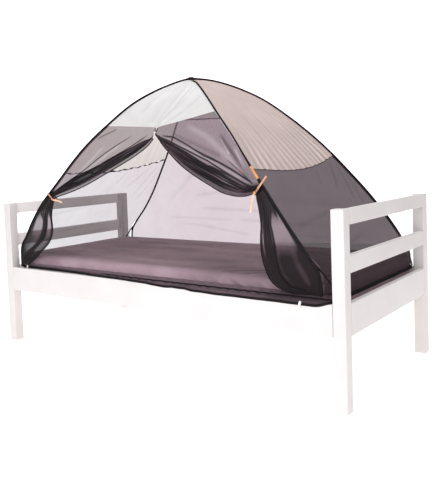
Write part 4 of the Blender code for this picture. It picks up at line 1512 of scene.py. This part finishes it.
LEFT_DOOR = Door(
    "fl", LEFT_EDGE,
    (0.0, 0.006, 0.020, 0.040, 0.056, 0.064, 0.066, 0.070, 0.070, 0.058, 0.044, 0.034, 0.030),
    ((0.0, 0.0, 0.0), (0.16, 0.13, 0.10), (0.26, 0.56, 0.50), (0.74, 0.78, 0.66), (0.84, 0.95, 0.94),
     (1.0, 1.0, 1.0)),
    # Same columns as the right door: the last number and the crease lines paint shade, and highlight where
    # below zero.
    (0.20, 0.34, 0.66, 0.86), 0.88, 0.92,
    (
        (((-0.150, 1.155), (-0.257, 1.095), (-0.347, 1.048), (-0.471, 0.971), (-0.560, 0.915)), 0.0028, 1.00),
        (((-0.038, 1.147), (-0.137, 1.099), (-0.267, 1.041), (-0.379, 0.984), (-0.470, 0.950)), 0.0028, 1.05),
        (((-0.282, 1.193), (-0.394, 1.149)), 0.0050, 0.55),
        (((-0.200, 1.110), (-0.340, 1.035), (-0.460, 0.962)), 0.0050, -0.25),
        (((-0.320, 1.110), (-0.440, 1.010), (-0.540, 0.930)), 0.0080, -0.20),
    ))


def build_door(name, node, door, material):
    made, edge = door.mesh(name, material)
    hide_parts(node)
    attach(made, "root")
    path = edge[::2]
    if path[-1] != edge[-1]:
        path.append(edge[-1])
    piping = tube(name + "_zip_edge", path, lambda share, angle: 0.0026, MATERIALS["trim"],
                  sides=8, side_hint=Vector((0.0, 1.0, 0.0)))
    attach(piping, "root")
    return made, piping


# ================================================================ ties
def build_tie(name, corner, edge, overrun, tail):
    """Tie sewn to the leg: a loop round the door, its knot and its free end."""
    out = Vector((0.0, -1.0, 0.0))
    clear = NECK_DEPTH + 0.0006 + 0.0007 + 0.0025
    neck = front_point(*edge[NECK_ROW])
    leg = leg_point(corner, place_at(neck.z + NECK_RISE))
    ahead = Vector((leg.x - neck.x, 0.0, leg.z - neck.z)).normalized()
    span = (leg - neck).dot(ahead)
    slope = Vector((0.0, (leg.y - neck.y) / span, 0.0))

    def beside(run, away):
        return neck + ahead * run + slope * max(run, 0.0) + out * away

    path = [beside(mix(span + overrun, 0.012, step / 8), clear) for step in range(9)]
    facing = [out] * 9
    for step in range(1, 12):
        angle = math.pi * step / 12
        swing = math.copysign(abs(math.cos(angle)) ** 0.6, math.cos(angle))
        path.append(beside(-0.007 - 0.006 * math.sin(angle), clear * swing))
        facing.append(out * math.cos(angle) - ahead * math.sin(angle))
    path += [beside(mix(0.012, span - SLEEVE_RADIUS - 0.004, step / 4), -clear) for step in range(5)]
    facing += [-out] * 5
    loop = band(f"tie_{name}_band", path, facing, RIBBON_WIDTH, RIBBON_THICK, MATERIALS["mid_orange"])
    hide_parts(f"tie_{name}_loop")
    knot = build_knot(name, neck, ahead, out, clear)
    start = neck - ahead * (0.001 + 0.0065 + 0.0028) + out * (clear + 0.0007 + 0.003 + 0.0003)
    rows = [start + Vector(offset) for offset in tail]
    line = smooth_path(rows, 24)
    facings = [(out + ahead * 0.35 * math.sin(9 * step / 24)).normalized() for step in range(25)]
    end = band(f"tie_{name}_tail", line, facings, lambda share: RIBBON_WIDTH * (1.0 - 0.12 * share),
               RIBBON_THICK, MATERIALS["pale_orange"])
    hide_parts(f"tie_{name}_end")
    for made in (loop, end):
        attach(made, "root")
    return [loop, knot, end]


def build_knot(name, neck, ahead, out, clear):
    """Overhand knot: two turns of the ribbon drawn tight."""
    up = ahead.cross(out)
    up = up if up.z > 0 else -up
    middle = neck - ahead * 0.001 + out * (clear + RIBBON_THICK / 2 + 0.003 + 0.0003)
    points, faces = [], []
    rings, sides = 13, 16
    for row in range(rings):
        place = row / (rings - 1)
        size = 0.35 + 0.65 * math.sin(math.pi * mix(0.12, 0.88, place)) ** 0.7
        size *= 1.0 - 0.13 * math.cos(4 * math.pi * place)
        for step in range(sides):
            angle = 2 * math.pi * step / sides
            twist = 1.0 + 0.10 * math.cos(2 * angle - 5 * place)
            points.append(middle + ahead * (0.013 * (place - 0.5))
                          + out * (0.0029 * size * twist * math.cos(angle))
                          + up * (0.0058 * size * twist * math.sin(angle)))
    for row in range(rings - 1):
        for step in range(sides):
            after = (step + 1) % sides
            faces.append((row * sides + step, row * sides + after,
                          (row + 1) * sides + after, (row + 1) * sides + step))
    faces.append(tuple(range(sides)))
    faces.append(tuple(range((rings - 1) * sides, rings * sides)))
    mesh = bpy.data.meshes.new(f"tie_{name}_wound")
    mesh.from_pydata([tuple(p) for p in points], [], faces)
    places = [(0.013 * (index // sides) / rings, index % sides / sides) for index in range(len(points))]
    write_attributes(mesh, places, [0.0] * len(points))
    tidy_normals(mesh)
    made = finish_mesh(f"tie_{name}_wound", mesh, MATERIALS["orange"])
    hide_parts(f"tie_{name}_knot")
    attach(made, "root")
    return made


def build_leg_strap():
    """Length of the right tie stitched along the outside of its leg."""
    facing = Vector((0.5, -0.87, 0.0)).normalized()
    path, looks = [], []
    for step in range(17):
        place = place_at(mix(0.922, 0.975, step / 16))
        tangent = (leg_point("fr", place + 0.01) - leg_point("fr", place - 0.01)).normalized()
        look = (facing - tangent * facing.dot(tangent)).normalized()
        path.append(leg_point("fr", place) + look * (SLEEVE_RADIUS + RIBBON_THICK / 2 + 0.0004))
        looks.append(look)
    made = band("tie_right_sewn", path, looks, 0.011, RIBBON_THICK, MATERIALS["orange"])
    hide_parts("tie_right_strap")
    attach(made, "root")
    return made


RIGHT_TAIL = ((0.001, 0.000, 0.0012), (-0.006, -0.003, -0.026),
              (-0.010, -0.004, -0.052), (-0.016, -0.004, -0.078))
LEFT_TAIL = ((0.000, 0.000, 0.000), (0.024, -0.003, 0.000),
             (0.050, -0.004, -0.005), (0.078, -0.004, -0.012))


# ================================================================ room and camera
LAMPS = (
    # name, place, target, side, watts
    ("key", (-2.0, -3.6, 3.2), (0.0, -0.2, 0.8), 2.2, 27.0),
    ("front", (1.5, -4.3, 1.9), (-0.3, 0.0, 0.75), 2.4, 18.0),
    ("side", (3.6, -1.2, 2.4), (0.2, 0.0, 0.8), 2.0, 14.0),
    ("top", (0.2, 0.4, 4.4), (0.0, 0.0, 0.5), 3.0, 86.0),
    ("low", (0.9, -3.0, 0.75), (-1.0, -0.1, 0.7), 1.0, 22.0),
)


def build_room():
    """Plain pale floor, an even white surround and large soft lamps."""
    mesh = bpy.data.meshes.new("studio_floor")
    work = bmesh.new()
    bmesh.ops.create_circle(work, cap_ends=True, radius=4.2, segments=96)
    work.to_mesh(mesh)
    work.free()
    made, tree, shader = principled("studio_floor", 0.75, Emission_Color=(1.0, 0.985, 0.985, 1.0),
                                    Emission_Strength=0.55)
    cloud = noise_node(tree, place_node(tree), 3.0, 3.0)
    tree.links.new(colour_node(tree, cloud, (0.86, 0.85, 0.85), (0.88, 0.87, 0.87)),
                   shader.inputs["Base Color"])
    floor = finish_mesh("studio_floor", mesh, made, smooth=False)
    floor.location.z = -0.0005

    world = bpy.data.worlds.new("studio")
    bpy.context.scene.world = world
    world.use_nodes = True
    tree = world.node_tree
    tree.nodes.clear()
    way = add(tree, "ShaderNodeSeparateXYZ",
              links={"Vector": add(tree, "ShaderNodeTexCoord").outputs["Generated"]})
    side = range_node(tree, way.outputs["X"], -0.76, -0.60)
    tint = colour_node(tree, side, (1.96, 1.94, 2.00), (1.80, 1.60, 1.70))
    light = add(tree, "ShaderNodeBackground", {"Color": (1.0, 0.98, 0.98, 1.0), "Strength": 0.55})
    seen = add(tree, "ShaderNodeBackground", {"Strength": 1.0}, {"Color": tint})
    path = add(tree, "ShaderNodeLightPath")
    both = add(tree, "ShaderNodeMixShader", links={"Fac": path.outputs["Is Camera Ray"]})
    tree.links.new(light.outputs["Background"], both.inputs[1])
    tree.links.new(seen.outputs["Background"], both.inputs[2])
    out = add(tree, "ShaderNodeOutputWorld")
    tree.links.new(both.outputs["Shader"], out.inputs["Surface"])

    for row in LAMPS:
        lamp(*row)


def lamp(name, place, target, size, watts):
    data = bpy.data.lights.new(name, "AREA")
    data.shape = "SQUARE"
    data.size = size
    data.energy = watts
    made = bpy.data.objects.new(name, data)
    made.location = place
    made.visible_camera = False
    made.rotation_mode = "QUATERNION"
    made.rotation_quaternion = (Vector(target) - Vector(place)).to_track_quat("-Z", "Y")
    bpy.context.scene.collection.objects.link(made)


def build_camera():
    data = bpy.data.cameras.new("camera")
    data.sensor_width = 36.0
    data.lens = CAMERA_LENS
    data.shift_x, data.shift_y = CAMERA_SHIFT
    made = bpy.data.objects.new("camera", data)
    bpy.context.scene.collection.objects.link(made)
    ahead = Vector((math.sin(CAMERA_YAW) * math.cos(CAMERA_PITCH),
                    math.cos(CAMERA_YAW) * math.cos(CAMERA_PITCH), math.sin(CAMERA_PITCH)))
    level = ahead.cross(Vector((0.0, 0.0, 1.0))).normalized()
    up = level.cross(ahead)
    right = level * math.cos(CAMERA_ROLL) + up * math.sin(CAMERA_ROLL)
    top = up * math.cos(CAMERA_ROLL) - level * math.sin(CAMERA_ROLL)
    turn = Matrix((right, top, -ahead)).transposed().to_4x4()
    made.matrix_world = Matrix.Translation(Vector(CAMERA_PLACE)) @ turn
    bpy.context.scene.camera = made


# ================================================================ the whole
build_camera()
build_bed()
build_mattress()
floor_cloth = build_floor()
hem_pieces = build_hem_tape()
build_hoop("sleeve_a", "hoop_a", "fl", "br", SLEEVE_A_SLACK)
build_hoop("sleeve_b", "hoop_b", "fr", "bl", SLEEVE_B_SLACK)
build_apex_patch()
build_corner_seams()

front_panel = panel("roof_front", "top_front", FRONT, front_hem, MATERIALS["white"],
                    fold_relief(FRONT_FOLDS))
back_panel = panel("roof_back", "top_back", BACK, back_hem, MATERIALS["white"],
                   fold_relief(BACK_FOLDS))
foot_panel = panel("roof_foot", "top_foot", FOOT, foot_hem, MATERIALS["beige"],
                   ruched_relief(-0.04, 0.985, 16, 1.0), rows=90, cols=220)
head_panel = panel("roof_head", "top_head", HEAD, head_hem, MATERIALS["head_cloth_backlit"],
                   ruched_relief(0.55, 0.985, 13, 6.0), rows=80, cols=180)
foot_binding = hem_binding("binding_foot", FOOT, foot_hem, MATERIALS["net_foot"], 0.006)
head_binding = hem_binding("binding_head", HEAD, head_hem, MATERIALS["trim"], 0.013,
                           ripple=0.0026, puckers=0.75)
back_binding = hem_binding("binding_back", BACK, back_hem, MATERIALS["trim"], 0.010, puckers=0.3)
back_net = build_back_net()
foot_net = build_end_net("foot_net", "net_foot", FOOT, foot_hem, 2.0, MATERIALS["net_foot"])
head_net = build_end_net("head_net", "net_head", HEAD, head_hem, 7.0, MATERIALS["net_head"])
right_door, right_piping = build_door("door_right_net", "door_right", RIGHT_DOOR,
                                      MATERIALS["net_doubled"])
left_door, left_piping = build_door("door_left_net", "door_left", LEFT_DOOR,
                                    MATERIALS["net_door"])
right_tie = build_tie("right", "fr", RIGHT_EDGE, 0.046, RIGHT_TAIL)
left_tie = build_tie("left", "fl", LEFT_EDGE, 0.002, LEFT_TAIL)
right_tie.append(build_leg_strap())
build_front_pulls()
repaint(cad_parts["zip_pull_top"], "zip")

build_room()

bpy.context.scene.view_settings.view_transform = "Standard"
bpy.context.scene.cycles.transparent_max_bounces = 32
